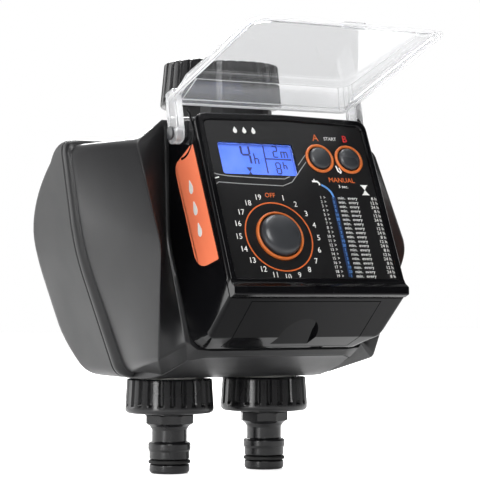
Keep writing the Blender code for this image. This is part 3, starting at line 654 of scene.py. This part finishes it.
def make_housing():
    ridge, valley = ridge_ring(), valley_ring()
    flank = seam_ring(-5.4, 1.95)
    facets = [[a.lerp(b, s) for a, b in zip(ridge, valley)] for s in (0.0, 0.2, 0.4, 0.6, 0.8, 1.0)]
    sides = [bulged(flank, ridge, s) for s in (0.0, 0.06, 0.15, 0.3, 0.45, 0.6, 0.75, 0.9)]
    bead = [seam_ring(y, inset) for y, inset in
            ((0.0, 0.55), (-0.2, 0.2), (-0.7, 0.0), (-1.7, 0.0), (-2.8, 0.12), (-3.6, 0.45), (-4.2, 0.95),
             (-4.6, 1.6), (-4.95, 1.95))]
    rings = soften([*bead, *sides, *facets, seat_ring()],
                   [0] * (len(bead) + len(sides) - 1) + [0.9] + [0] * 4 + [0.5])
    tools = [front_hollow(), tool(chin_mesh(FIT), HOUSING), tool(rod(*NECK_ROOM), upright(0, INLET_Y)),
             tool(box((-8, -60, 100), (8, -20, 112)), HOUSING)]
    put("front_shell", capped_loft(rings), HOUSING, "housing", nodes=["front_housing"],
        slot="housing", sharp=40, tools=tools)
    for side, place, x in screw_places():
        put(f"screw_post_{int(x)}_{side}", rod(3.4, -SCREW_SEAT_Y + 2.8, 33.0, 32), place, "housing",
            nodes=["front_housing"], slot="housing",
            tools=[tool(rod(1.7, -SCREW_SEAT_Y - 5, -32.0, 24), place)])
    rings = back_rings(0.3)
    lip = 0.45
    lead_in = [[p + Vector((math.copysign(lip, -p.x), 0, lip if p.z < 60 else -lip if p.z > 130 else 0))
                for p in rings[0]], [p + Vector((0, 0.5, 0)) for p in rings[0]]]
    shell = capped_loft([*lead_in, *rings[1:]])
    tools = [tool(capped_loft(back_rings(-2.0, 0.945, 5)), HOUSING),
             tool(rod(*NECK_ROOM), upright(0, INLET_Y))]
    for sign in (-1, 1):
        tools.append(tool(rod(SPIGOT_R + FIT, 30, 46), upright(sign * OUTLET_X, 0)))
        for x, z in SCREWS:
            room = turned([(0, -60), (3.9, -60), (3.9, -SCREW_SEAT_Y), (1.8, -SCREW_SEAT_Y), (1.8, -36),
                           (0, -36)], 32)
            tools.append(tool(room, sideways(sign * x, z)))
    put("rear_shell", shell, HOUSING, "housing", nodes=["rear_housing"], slot="housing", sharp=40,
        tools=tools)
    tools = [tool(rod(SPIGOT_R + FIT, 30, 48), upright(s * OUTLET_X, 0)) for s in (-1, 1)]
    put("housing_chin", chin_mesh(0.0), HOUSING, "housing", nodes=["rear_housing"], slot="housing",
        sharp=20, bevel=0.5, tools=tools)


def make_screws():
    seat = -SCREW_SEAT_Y
    for number, (_, place, _) in enumerate(screw_places(), 1):
        head = turned(smooth_section([(0, seat - 1.7), (2.6, seat - 1.7), (3.6, seat - 0.9),
                                      (3.6, seat - 0.2), (1.3, seat - 0.2), (1.3, seat + 12),
                                      (0, seat + 13)], 0.3), 40)
        cross = [tool(box((-a, -b, -60), (a, b, seat - 0.9)), place) for a, b in ((2.0, 0.35), (0.35, 2.0))]
        put(f"back_screw_{number}", head, place, "steel", nodes=[f"housing_screw_{number}"], slot="steel",
            tools=cross)


# ---- nuts and nipples
def grooved_nut(outside, inside, ribs, depth, end_z, per_rib=12):
    """A nut whose outside has round-ended grooves that are open at the top.

    outside is a run of (radius, height) from the bottom to the top, inside runs from the top to the bottom.
    """
    count = ribs * per_rib
    rings = []
    for radius, z in outside:
        pitch = 2 * math.pi * radius / ribs
        ring = []
        for i in range(count):
            share = (i / per_rib) % 1.0 - 0.5
            across = abs(share) * pitch
            if z < end_z:
                across = math.hypot(across, end_z - z)
            edge = min(1.0, max(0.0, (across - 0.11 * pitch) / (0.13 * pitch)))
            drop = depth * (1.0 - edge * edge * (3 - 2 * edge))
            angle = 2 * math.pi * i / count
            ring.append(((radius - drop) * math.cos(angle), (radius - drop) * math.sin(angle), z))
        rings.append(ring)
    for radius, z in inside:
        rings.append([(x, y, z) for x, y in circle(radius, count)])
    return loft(rings, True)


def make_outlets():
    wide = SPIGOT_R + FIT
    outside = [(16.6, 24.4), (17.0, 24.46), (17.45, 24.75), (17.85, 25.3), (18.02, 25.8), (18.0, 26.4)]
    outside += [(18.0 - 0.7 * k / 20, 26.7 + 10.9 * k / 20) for k in range(21)]
    outside += [(17.2, 37.95), (16.9, 38.15), (16.4, 38.2)]
    inside = [(wide + 0.3, 38.2), (wide, 37.9), (wide, 26.4), (10.8, 26.4), (10.5, 26.1), (10.5, 24.7),
              (10.8, 24.4)]
    nipple = smooth_section([(5.4, 0), (7.3, 0), (8.15, 0.9), (8.15, 3.5), (7.2, 3.7), (7.2, 5.7), (8.2, 5.9),
                             (8.2, 9.0), (8.65, 9.6), (8.65, 12.0), (8.0, 12.6), (7.15, 12.8), (7.15, 17.6),
                             (8.0, 19.0), (9.4, 20.0), (10.2, 20.2), (10.2, 23.4), (9.6, 23.5), (9.6, 26.7),
                             (12.6, 26.7), (12.6, 28.2), (6.2, 28.2)], 0.3)
    for side, sign in SIDES:
        place = upright(sign * OUTLET_X, 0)
        put(f"grooved_nut_{side}", grooved_nut(outside, inside, 24, 1.2, 28.3), place, "fitting",
            f"nut_{side}", [f"outlet_nut_{side}"], "fitting", 50)
        bm = turned(nipple, 96)
        for v in bm.verts:
            radius, angle = math.hypot(v.co.x, v.co.y), math.atan2(v.co.y, v.co.x)
            if 20.1 < v.co.z < 23.45 and radius > 9.5:
                flat = 10.2 * math.cos(math.pi / 8) / math.cos((angle % (math.pi / 4)) - math.pi / 8)
                share = min(radius, flat) / radius
                v.co.x *= share
                v.co.y *= share
        put(f"hose_nipple_{side}", bm, place, "fitting", "timer", [f"outlet_nipple_{side}"], "fitting", 30)
        ring = turned([(8.05 + 0.55 * x, 4.7 + 0.7 * y) for x, y in circle(1.0, 16)], 72)
        put(f"seal_ring_{side}", ring, place, "seal", "timer", [f"nipple_oring_{side}"], "seal")


def make_inlet():
    place = upright(0, INLET_Y)
    outside = [(23.3, 148.6), (23.9, 148.7), (24.6, 149.1), (24.95, 149.7), (24.95, 150.3)]
    outside += [(24.9 - 1.5 * k / 20, 150.8 + 15.2 * k / 20) for k in range(21)]
    outside += [(23.2, 166.6), (22.8, 166.9), (22.3, 167.0)]
    inside = [(17.6, 167.0), (17.2, 166.6)]
    for k in range(7):
        z = 165.8 - 1.9 * k
        inside += [(16.8, z), (16.8, z - 0.3), (17.35, z - 0.95), (17.35, z - 1.1)]
    inside += [(16.8, 152.3), (17.9, 150.4), (17.9, 148.8), (18.2, 148.6)]
    put("ribbed_inlet_nut", grooved_nut(outside, inside, 30, 1.15, 151.8), place, "fitting", "tap_nut",
        ["inlet_nut"], "fitting", 50)


# ---- control unit
CASE_SLICES = (              # depth n, lowest v, highest v, bend of the lower corners, of the upper ones
    (-3.2, -24.2, 52.0, 1.5, 4.5),
    (-21.3, -30.0, 61.6, 2.0, 4.0),
    (-24.4, -31.0, 53.6, 3.0, 3.5),
    (-30.0, -30.8, 39.3, 6.0, 2.0),
    (-35.8, -30.5, 24.4, 8.0, 1.0),
    (-37.5, -30.2, 20.0, 7.5, 1.0),
    (-38.1, -28.9, 18.5, 7.0, 1.0))


def case_rings(shrink=0.0, front=None, steps=8):
    half = PANEL_HALF - shrink
    rings = []
    for n, low, high, low_bend, high_bend in CASE_SLICES:
        outline = round_corners([(half, low + shrink, low_bend), (half, high - shrink, high_bend),
                                 (-half, high - shrink, high_bend), (-half, low + shrink, low_bend)], steps)
        rings.append([(u, v, n + (shrink if n < CASE_SLICES[0][0] else 0.0)) for u, v in outline])
    if front is not None:
        rings[0] = [(u, v, front) for u, v, _ in rings[0]]
    return rings


def pivot_on_panel():
    return PANEL.inverted() @ Vector(joint("cover_hinge")["pos_m"])


def on_side(sign, radius, low, high, count=32):
    """A rod across the panel frame at the cover's pivot, from one distance from the middle to another."""
    return prism(circle(radius, count, pivot_on_panel().yz), sign * low, sign * high)


def make_case():
    rings = soften(case_rings(), [0.5, 0.8, 0.5, 0.5, 0.8])
    tools = [tool(loft(case_rings(2.0, 4.0, 4)), PANEL),
             tool(box((-28.3, -45, -34.3), (28.3, -20, -4.7)), PANEL),
             tool(box((-8, 24, -50), (8, 34, -28)), PANEL),
             tool(plate(rectangle(12.0, 17.5, -33, -28.7, 0.4), -42, -34.8), PANEL)]
    tools += [tool(on_side(sign, 1.55, 32, 45), PANEL) for _, sign in SIDES]
    put("case_shell", loft(rings), PANEL, "gloss", nodes=["control_case"], slot="gloss", sharp=32,
        tools=tools)
    for side, sign in SIDES:
        make_pivot_rim(side, sign)


def make_pivot_rim(side, sign):
    """A low curved bead on the case's side, round the front of the cover's pivot."""
    pivot = pivot_on_panel()
    rings = []
    for k in range(31):
        lean = math.radians(60 - 150 * k / 30) - math.asin(PANEL.to_3x3().col[2].normalized().z)
        ring = []
        for radius, x in ((10.3, 38.25), (10.2, 38.5), (9.7, 38.66), (9.2, 38.5), (9.1, 38.25), (9.7, 37.9)):
            ring.append((sign * x, pivot.y + radius * math.sin(lean), pivot.z + radius * math.cos(lean)))
        rings.append(ring)
    rings = [r for r in rings if max(p[2] for p in r) < -3.0]
    put(f"pivot_rim_{side}", loft(rings), PANEL, "gloss", nodes=["control_case"], slot="gloss", sharp=60)


def scoop():
    """A D-shaped pocket with a flat sloping floor, flush at its straight edge."""
    edge_n, top_n = -31.6, -14.2
    outline = [(-8.2, edge_n)]
    for k in range(33):
        angle = math.pi * k / 32
        outline.append((-8.2 * math.cos(angle), -24.5 + (top_n + 24.5) * math.sin(angle)))
    outline.append((8.2, edge_n))
    deep = 4.2
    return loft([[(u, -40.0, n) for u, n in outline],
                 [(u, -30.75 + deep * (n - edge_n) / (top_n - edge_n), n) for u, n in outline]])


def make_drawer():
    face = [(-24.8, -5.0), (-31.0, -24.4), (-30.6, -34.0), (-27.0, -34.0), (-27.2, -24.6), (-21.2, -5.0)]
    put("drawer_face", prism(face, -28.0, 28.0), PANEL, "gloss", "drawer", ["battery_drawer"], "gloss",
        sharp=12, tools=[tool(scoop(), PANEL)])
    tray = box((-26.4, -26.6, -32.6), (26.4, -8.0, -11.4))
    put("drawer_tray", tray, PANEL, "key", "drawer", ["battery_drawer"], "key", bevel=0.3,
        tools=[tool(box((-24.8, -24.4, -31.4), (24.8, 0, -12.6)), PANEL)])
    block = box((-24.2, -24.0, -30.7), (24.2, 2.4, -13.3))
    put("battery_block", block, PANEL, "jacket", "drawer", ["battery"], "jacket", bevel=1.4)


def fascia_outline(inset, steps=8):
    top, low = PANEL_TOP - inset, PANEL_BOTTOM + inset * 0.4
    half = PANEL_HALF - inset
    bend = max(1.2, 4.5 - 0.6 * inset)
    return round_corners([(half + 0.2, low, 2.0), (half, top, bend), (0, top + 1.0, 0), (-half, top, bend),
                          (-half - 0.2, low, 2.0), (0, low - 0.8, 0)], steps)


def fascia_rings(insets):
    return [[(u, v, n) for u, v in fascia_outline(inset)] for inset, n in insets]


def panel_place(u, v=0.0):
    return PANEL @ Matrix.Translation((u, v, 0))


def panel_openings(gap):
    """Tools for the display's window, the dial's hole and the buttons' holes, wider all round by a gap."""
    u0, u1, v0, v1 = DISPLAY
    window = rectangle(u0 + 2 * gap, u1 - 2 * gap, v0 + 2 * gap, v1 - 2 * gap, 1.2, 8)
    return [tool(plate(window, -6, 3), PANEL), tool(rod(8.7 + gap, -6, 3, 64), panel_place(DIAL_U)),
            *[tool(rod(4.9 + gap, -6, 3), panel_place(u, BUTTON_V)) for _, u in BUTTONS]]


def make_fascia():
    rings = soften(fascia_rings(((0.3, -2.9), (0.0, -2.6), (0.0, -0.9), (0.8, 0.0))), [0.15, 0.5])
    middle = [(p[0] * 0.97, p[1] * 0.97, 0.0) for p in rings[-1]]
    frame_bm = loft(soften([*rings, middle], [0] * (len(rings) - 2) + [0.4]))
    room = fascia_rings(((3.1, FLOOR_N), (2.9, -0.5), (2.7, -0.1), (2.3, 0.3), (2.3, 3.0)))
    put("fascia_frame", frame_bm, PANEL, "gloss", nodes=["control_fascia"], slot="gloss", sharp=32,
        tools=[tool(loft(room), PANEL), *panel_openings(0.0)])
    lip = smooth_section([(-19.4, 0.0), (-21.6, 1.6), (-24.2, 0.5), (-24.0, -2.9), (-17.0, -2.9),
                          (-17.0, -0.5)], 0.5, 4)
    put("fascia_lip", prism(lip, -38.0, 38.0), PANEL, "gloss", nodes=["control_fascia"], slot="gloss",
        sharp=32, tools=[tool(box((-3.2, -22.4, 0.6), (3.2, -20.8, 3.0)), PANEL)])
    put("printed_plate", plate(fascia_outline(3.25), -0.88, -0.74), PANEL, "face", nodes=["control_fascia"],
        slot="gloss", tools=panel_openings(0.05))


def make_display():
    u0, u1, v0, v1 = DISPLAY
    window = plate(rectangle(u0 + 0.3, u1 - 0.3, v0 + 0.3, v1 - 0.3, 1.0, 6), -2.4, -1.2)
    put("display_glass", window, PANEL, "glass", nodes=["display_window"], slot="clear", bevel=0.15)
    # the blue plate behind the glass shines with a painted glow
    put("display_glow_plate", box((u0 - 1, v0 - 2, -7.2), (u1 + 1, v1 + 1.5, -3.2)), PANEL, "display",
        nodes=["display_module"], slot="display", bevel=0.2)


def make_knobs():
    dome = [(0, -4.4), (3.0, -4.4), (3.0, -2.4), (8.3, -2.4), (8.4, -2.2), (8.4, 0.9), (8.25, 1.6),
            (7.8, 2.3), (7.1, 2.85), (6.0, 3.3), (4.5, 3.65), (2.4, 3.9), (0, 4.0)]
    place = panel_place(DIAL_U)
    put("dial_cap", turned(dome, 96), place, "key", "dial", ["dial_knob"], "key", sharp=50)
    ring = smooth_section([(8.9, -0.6), (9.9, -0.6), (9.9, 0.5), (9.6, 0.9), (9.1, 0.9), (8.9, 0.5)], 0.3)
    put("dial_bezel", turned(ring, 96), place, "orange", "timer", ["dial_ring"], "orange")
    for key, u in BUTTONS:
        place = panel_place(u, BUTTON_V)
        cap = [(0, -6.4), (1.6, -6.4), (1.6, -3.4), (5.4, -3.4), (5.4, -3.1), (4.6, -3.1), (4.6, 0.1),
               (4.5, 0.5), (4.2, 0.85), (3.4, 1.15), (2.4, 1.38), (1.2, 1.53), (0, 1.6)]
        put(f"push_button_{key}", turned(cap, 64), place, "key", f"key_{key}", [f"button_{key}"], "key",
            sharp=50)
        ring = smooth_section([(5.0, -0.6), (6.2, -0.6), (6.2, -0.2), (5.9, 0.1), (5.3, 0.1), (5.0, -0.2)],
                              0.15)
        put(f"button_bezel_{key}", turned(ring, 64), place, "orange", "timer", [f"button_ring_{key}"],
            "orange")


# ---- printing
PRINT_LOW, PRINT_HIGH = -0.73, -0.66
DISPLAY_PRINT = (-3.2, -3.0)
TABLE_ROWS, TABLE_TOP, TABLE_PITCH = 19, 17.2, 1.844
prints = {}


def ink(colour):
    """The mesh that everything printed in one colour is collected in."""
    if colour not in prints:
        prints[colour] = bmesh.new()
    return prints[colour]


def stroke(colour, points, width=0.35, low=PRINT_LOW, high=PRINT_HIGH):
    merge(ink(colour), ribbon(points, width, low, high))


def patch(colour, outline, low=PRINT_LOW, high=PRINT_HIGH):
    merge(ink(colour), plate(outline, low, high))


def flat_ring(colour, centre, radius, width, low=PRINT_LOW, high=PRINT_HIGH):
    ring = turned([(radius - width / 2, low), (radius + width / 2, low), (radius + width / 2, high),
                   (radius - width / 2, high)], 96, centre)
    merge(ink(colour), ring)


def text(colour, words, u, v, cap, align="CENTER", squeeze=1.0):
    """Letters with their middle, left or right edge at (u, v), v being the middle of the capitals."""
    curve = bpy.data.curves.new("words", "FONT")
    curve.body = words
    curve.size = cap / 0.73
    curve.align_x = align
    curve.resolution_u = 2
    curve.extrude = (PRINT_HIGH - PRINT_LOW) / 2
    obj = bpy.data.objects.new("words", curve)
    link(obj)
    bpy.context.view_layer.update()
    mesh = bpy.data.meshes.new_from_object(obj.evaluated_get(bpy.context.evaluated_depsgraph_get()))
    bpy.data.objects.remove(obj)
    bpy.data.curves.remove(curve)
    mesh.transform(Matrix.Translation((u, v - cap / 2, (PRINT_LOW + PRINT_HIGH) / 2))
                   @ Matrix.Scale(squeeze, 4, (1, 0, 0)))
    ink(colour).from_mesh(mesh)
    bpy.data.meshes.remove(mesh)


def segments(strokes, width):
    """Bars of the display, each given by its two ends."""
    for start, end in strokes:
        stroke("segment", [start, end], width, *DISPLAY_PRINT)


def print_display():
    segments([((-20.0, 39.2), (-20.0, 35.9)), ((-19.8, 35.6), (-16.8, 35.6)), ((-16.6, 39.2), (-16.6, 35.9)),
              ((-16.6, 35.3), (-16.6, 31.9))], 0.75)
    segments([((-14.8, 36.3), (-14.8, 31.8)), ((-14.8, 34.1), (-13.4, 34.1)), ((-13.3, 33.9), (-13.3, 31.8)),
              ((-10.0, 39.7), (-10.2, 27.9)), ((-9.8, 34.2), (1.4, 34.1))], 0.45)
    segments([((-6.0, 39.9), (-4.3, 39.9)), ((-4.2, 39.7), (-4.2, 37.8)), ((-5.8, 37.6), (-4.3, 37.6)),
              ((-6.0, 37.4), (-6.0, 35.3)), ((-5.8, 35.1), (-4.2, 35.1)), ((-2.6, 37.6), (-2.6, 34.9)),
              ((-2.4, 37.4), (-0.1, 37.4)), ((-1.25, 37.3), (-1.25, 34.9)), ((0.0, 37.2), (0.0, 34.9)),
              ((-5.8, 32.6), (-4.3, 32.6)), ((-5.8, 30.2), (-4.3, 30.2)), ((-5.8, 27.9), (-4.3, 27.9)),
              ((-6.0, 32.4), (-6.0, 30.4)), ((-6.0, 30.0), (-6.0, 28.1)), ((-4.1, 32.4), (-4.1, 30.4)),
              ((-4.1, 30.0), (-4.1, 28.1)), ((-2.6, 33.0), (-2.6, 30.0)), ((-2.5, 31.6), (-1.4, 31.6)),
              ((-1.3, 31.5), (-1.3, 30.0))], 0.4)
    for points in ([(-19.2, 30.2), (-16.8, 30.2), (-18.0, 28.4)],
                   [(-19.2, 26.6), (-18.0, 28.4), (-16.8, 26.6)]):
        patch("segment", points, *DISPLAY_PRINT)


def hourglass(colour, u, v, wide, tall):
    for sign in (-1, 1):
        end = v + sign * tall / 2
        patch(colour, [(u - wide / 2, end), (u + wide / 2, end), (u, v)])
        stroke(colour, [(u - wide * 0.62, end + sign * 0.15), (u + wide * 0.62, end + sign * 0.15)], 0.3)


def print_table():
    """Numbered rows of programme steps."""
    rows = [TABLE_TOP - row * TABLE_PITCH for row in range(TABLE_ROWS)]
    for row, v in enumerate(rows):
        text("white", str(row + 1), 9.8, v, 1.25, "RIGHT", 0.95)
        stroke("white", [(10.7, v + 0.35), (11.4, v), (10.7, v - 0.35)], 0.22)
        text("white", "min.  every", 17.0, v, 1.3, "LEFT", 1.12)
        text("white", f"{(8, 12, 24)[row % 3]} h", 34.8, v, 1.3, "RIGHT", 1.1)
    stream = curve_through([(11.0, 22.6), (13.0, 21.4), (14.6, 19.6), (15.3, 17.4)])
    stroke("blue_light", stream, 0.8, PRINT_LOW, PRINT_LOW + 0.03)
    stroke("blue_ink", [(15.2, 17.4), (14.9, 2.0), (14.4, -16.4)], 1.7, PRINT_LOW, PRINT_LOW + 0.02)
    for row, v in enumerate(rows):
        text("blue_light", str((1, 2, 3, 5, 10, 20)[row % 6]), 14.9, v, 1.2, "CENTER", 0.95)


def print_panel():
    centre = (DIAL_U, 0.0)
    flat_ring("orange_ink", centre, 14.16, 0.5)
    text("orange_ink", "OFF", DIAL_U, 17.5, 2.0, squeeze=0.95)
    for number in range(1, 20):
        angle = math.radians(90 - 18 * number)
        radius = 16.9 + 0.5 * math.sin(angle)
        text("white", str(number), DIAL_U + radius * math.cos(angle) * 1.02, radius * math.sin(angle), 2.35,
             squeeze=0.95)
    text("orange_ink", "A", 13.2, 43.4, 3.0)
    text("red_ink", "B", 26.6, 43.4, 3.0)
    text("white", "START", 19.9, 43.1, 1.5, squeeze=0.95)
    text("orange_ink", "MANUAL", 20.7, 25.0, 2.1)
    text("white", "3 sec.", 20.8, 22.2, 1.4)
    stroke("white", [(19.6, 31.2), (20.2, 28.8), (21.4, 28.0)], 0.6)
    stroke("white", [(20.9, 30.4), (21.6, 28.4)], 0.5)
    stroke("white", [(7.2, 24.0), (9.4, 24.0), (10.2, 23.2), (10.2, 22.4)], 0.7)
    stroke("white", [(8.2, 24.2), (8.2, 25.0)], 0.5)
    hourglass("white", 30.4, 20.9, 2.6, 3.8)
    stroke("grey", [(-35.0, 21.6), (-33.8, 22.4), (-24.8, 22.0), (-6.3, 21.6), (-1.8, 23.4), (6.5, 32.4)],
           0.3)
    stroke("grey", [(-35.0, 26.1), (-33.9, 25.7), (-29.3, 25.1), (-14.3, 24.6), (-4.9, 24.6), (-2.3, 25.7)],
           0.3)
    stroke("white", [(-35.0, 24.0), (-33.3, 24.5)], 0.5)
    stroke("grey", [(2.6, 30.8), (6.9, 35.5)], 0.3)
    for k in range(3):
        u = -22.0 + 4.0 * k
        patch("white", [(u, 46.6), (u - 0.7, 45.4), (u - 0.9, 44.6), (u - 0.5, 43.9), (u, 43.7),
                        (u + 0.5, 43.9), (u + 0.9, 44.6), (u + 0.7, 45.4)])
    print_display()
    print_table()
    for colour, bm in prints.items():
        if colour == "segment":
            name, node, slot = "display_segments", "display_module", "display"
        else:
            name, node, slot = f"print_{colour}", "control_fascia", "gloss"
        put(name, bm, PANEL, colour, nodes=[node], slot=slot)


def droplet(centre, size, low, high, sign):
    """A water drop standing out of a side wall, in the (v, n) plane."""
    outline = []
    for k in range(24):
        angle = 2 * math.pi * k / 24
        radius = size * (1.0 + 0.9 * max(0.0, math.cos(angle)) ** 6)
        outline.append((centre[0] + radius * math.cos(angle), centre[1] + size * 0.8 * math.sin(angle)))
    return prism(outline, sign * low, sign * high)


def make_labels():
    outline = round_corners([(-7.6, -4.9, 1.0), (-5.1, -17.8, 4.0), (-0.5, -21.8, 3.0), (38.4, -23.2, 2.0),
                             (40.6, -21.5, 1.5), (41.6, -6.3, 1.0)], 6)
    for side, sign in SIDES:
        plate_bm = prism(outline, *sorted((sign * (PANEL_HALF + 0.05), sign * (PANEL_HALF + 0.3))))
        put(f"label_{side}", plate_bm, PANEL, "label", nodes=[f"side_label_{side}"], slot="orange")
        drops = bmesh.new()
        for k in range(3):
            merge(drops, droplet((8.0 + 9.0 * k, -14.0), 2.0, PANEL_HALF + 0.29, PANEL_HALF + 0.345, sign))
        put(f"label_drops_{side}", drops, PANEL, "white", nodes=[f"side_label_{side}"], slot="orange")


# ---- clear cover
def cover_ring(half, near, far, h_near, h_side, h_far):
    outline = round_corners([(half, near, 5), (half, far, 7), (-half, far, 7), (-half, near, 5)], 10)
    ring = []
    for x, e in outline:
        share = min(1.0, max(0.0, (e - near) / 9.0))
        side = h_side + (h_far - h_side) * (e - near) / (far - near)
        ring.append((x, e, h_near + (side - h_near) * share))
    return ring


def put_clear(name, bm, mat="clear", **more):
    put(name, bm, COVER, mat, "cover", ["transparent_cover"], "clear", **more)


def make_cover():
    under = 20.5
    sections = ((30.0, 12.0, 56.0, 22.0, 22.0, 22.0), (36.8, 4.9, 62.8, 22.0, 22.0, 22.0),
                (37.6, 4.0, 63.8, 21.2, 21.2, 21.4), (39.6, -2.0, 70.0, 15.2, 16.8, 18.4),
                (41.6, -3.9, 71.8, 13.7, 15.4, 17.6), (40.4, -2.6, 70.6, 13.5, 15.2, 17.4),
                (38.2, -0.6, 68.6, 15.2, 16.4, 18.0), (36.2, 5.6, 62.2, 20.2, 20.2, 20.2),
                (35.6, 6.2, 61.6, under, under, under), (30.0, 12.0, 56.0, under, under, under))
    rings = soften([cover_ring(*section) for section in sections],
                   [0.5, 0.4, 0.5, 0.35, 0.3, 0.4, 0.5, 0.4], 3)
    put_clear("clear_tray", loft(rings), sharp=40)
    for side, sign in SIDES:
        arm = round_corners([(-4.0, -4.0, 3.8), (4.0, -4.0, 3.8), (5.5, 16.6, 1), (-1.5, 16.6, 1)], 10)
        low, high = sorted((sign * 38.9, sign * 42.5))
        hole = prism(circle(1.7, 32), sign * 36.0, sign * 46.0)
        put_clear(f"cover_arm_{side}", prism(arm, low, high), bevel=0.4, tools=[tool(hole, COVER)])
    edges = bmesh.new()
    lines = []
    for k, radius in ((1, 0.3), (3, 0.28), (4, 0.4), (5, 0.3)):
        half, near, far, *heights = sections[k]
        heights = [h - radius for h in heights] if k == 1 else heights
        lines.append(cover_ring(half - radius, near + radius, far - radius, *heights))
        merge(edges, wire(lines[-1], radius, True))
    window, rim = lines[0], lines[2]
    for i in (*range(0, 11, 3), *range(33, 44, 3), 16, 27):
        merge(edges, wire([window[i % 44], rim[i % 44]], 0.25, False))
    # the cover's edges and ribs carry the painted highlight
    put_clear("cover_edges", edges, "edge", sharp=60)
    put_clear("latch_tab", box((-5, 69.9, 16.2), (5, 71.4, 18.6)), bevel=0.3)


def make_pins():
    pivot = HOUSING.inverted() @ Vector(joint("cover_hinge")["pos_m"])
    for side, sign in SIDES:
        section = smooth_section([(0, 33.0), (1.4, 33.0), (1.4, 42.8), (2.6, 42.8), (2.6, 43.6), (0, 43.6)],
                                 0.2)
        place = HOUSING @ Matrix.Translation(pivot) @ Matrix.Rotation(math.radians(90) * sign, 4, "Y")
        put(f"pivot_pin_{side}", turned(section, 40), place, "key", nodes=[f"hinge_pin_{side}"], slot="key")


def flatten_springs():
    """Gives each plunger spring a mesh of its own."""
    for side, _ in SIDES:
        spring = frame["nodes"][f"plunger_spring_{side}"]
        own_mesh(spring)


def paint_inner_pieces():
    """The pieces that are shown as they are in the CAD, with a material for each slot."""
    slots = {"inlet_collar": "housing", "inlet_washer": "seal", "inlet_filter": "mesh",
             "valve_manifold": "valve", "rotary_switch": "board", "circuit_board": "board",
             "battery_contacts": "steel", "tact_switch_a": "steel", "tact_switch_b": "steel"}
    for side, _ in SIDES:
        slots.update({f"diaphragm_{side}": "seal", f"valve_bonnet_{side}": "valve",
                      f"solenoid_coil_{side}": "coil", f"plunger_{side}": "steel",
                      f"plunger_spring_{side}": "steel", f"outlet_washer_{side}": "seal",
                      f"coil_lead_{side}": "lead"})
    for name, slot in slots.items():
        node = frame["nodes"][name]
        node.data.materials.clear()
        node.data.materials.append(MATS[slot])


# ---- stage
def area_light(name, place, aim, size, power):
    lamp = bpy.data.lights.new(name, "AREA")
    lamp.shape = "RECTANGLE"
    lamp.size, lamp.size_y = size
    lamp.energy = power
    obj = bpy.data.objects.new(name, lamp)
    obj.location = place
    obj.rotation_euler = (Vector(aim) - Vector(place)).to_track_quat("-Z", "Y").to_euler()
    link(obj)


def make_world():
    """A white surround for what is seen directly or through the clear plastic. For light on the object the
    side behind it is bright and the side in front and above is dark.
    """
    world = bpy.data.worlds.new("studio")
    world.use_nodes = True
    tree = world.node_tree
    coordinates = tree.nodes.new("ShaderNodeTexCoord")
    toward = tree.nodes.new("ShaderNodeVectorMath")
    toward.operation = "DOT_PRODUCT"
    toward.inputs[1].default_value = (-0.1, 0.95, -0.3)
    path = tree.nodes.new("ShaderNodeLightPath")
    direct = tree.nodes.new("ShaderNodeMath")
    direct.operation = "MAXIMUM"
    strength = tree.nodes.new("ShaderNodeMath")
    strength.operation = "MAXIMUM"
    tree.links.new(coordinates.outputs["Generated"], toward.inputs[0])
    behind = map_range(tree, toward.outputs["Value"], (-0.1, 0.6), (0.05, 1.0))
    tree.links.new(path.outputs["Is Camera Ray"], direct.inputs[0])
    tree.links.new(path.outputs["Is Transmission Ray"], direct.inputs[1])
    tree.links.new(behind, strength.inputs[0])
    tree.links.new(direct.outputs["Value"], strength.inputs[1])
    tree.links.new(strength.outputs["Value"], tree.nodes["Background"].inputs["Strength"])
    tree.nodes["Background"].inputs["Color"].default_value = (1.0, 1.0, 1.0, 1.0)
    bpy.context.scene.world = world


def make_floor():
    """A white floor at the nipples' tips, brighter where it is seen directly than as a light."""
    half = 3000
    floor = new_object("floor", box((-half, -half, -20), (half, half, 0)),
                       Matrix.Translation((0, 0, nipple_low.z)) @ Matrix.Scale(MM, 4))
    mat = new_material("floor_white", (0.93, 0.93, 0.93), 0.6)
    vary(mat, "Roughness", 3.0, 0.55, 0.65)
    tree = mat.node_tree
    seen = tree.nodes.new("ShaderNodeLightPath").outputs["Is Camera Ray"]
    set_inputs(shader_of(mat), {"Emission Color": (1.0, 1.0, 1.0, 1.0)})
    tree.links.new(map_range(tree, seen, (0.0, 1.0), (0.1, 0.75)), shader_of(mat).inputs["Emission Strength"])
    floor.data.materials.append(mat)


LIGHTS = (             # name, place, aim, size, watts
    ("key", (-0.45, -0.95, 0.65), (0, 0, -0.06), (0.5, 0.5), 9.0),
    ("top", (0.0, 0.2, 1.0), (0, 0, -0.05), (0.6, 0.6), 9.0),
    ("rear_left", (-0.65, 0.82, -0.02), (0, 0, -0.08), (0.25, 0.7), 1.7),
    ("left_strip", (-0.9, -0.45, -0.08), (0, 0, -0.14), (0.10, 0.5), 3.0),
    ("floor_behind", (0.3, 0.75, 0.4), (0.2, 0.35, -0.153), (0.3, 0.3), 6.0))


def make_stage():
    make_floor()
    make_world()
    for light in LIGHTS:
        area_light(*light)


CAMERA_PLACE = (-0.3644, -0.6820, -0.0830)
CAMERA_TILT, CAMERA_TURN = 91.83, -28.7           # degrees


def make_camera():
    camera = bpy.data.cameras.new("camera")
    camera.lens = 141.1
    camera.sensor_width = 36.0
    obj = bpy.data.objects.new("camera", camera)
    obj.location = CAMERA_PLACE
    obj.rotation_euler = (math.radians(CAMERA_TILT), 0.0, math.radians(CAMERA_TURN))
    link(obj)
    bpy.context.scene.camera = obj


def main():
    for make in (make_housing, make_screws, make_outlets, make_inlet, make_case, make_drawer, make_fascia,
                 make_display, make_knobs, print_panel, make_labels, make_cover, make_pins,
                 paint_inner_pieces, flatten_springs, make_stage, make_camera):
        make()
    scene = bpy.context.scene
    scene.view_settings.view_transform = "Standard"


main()
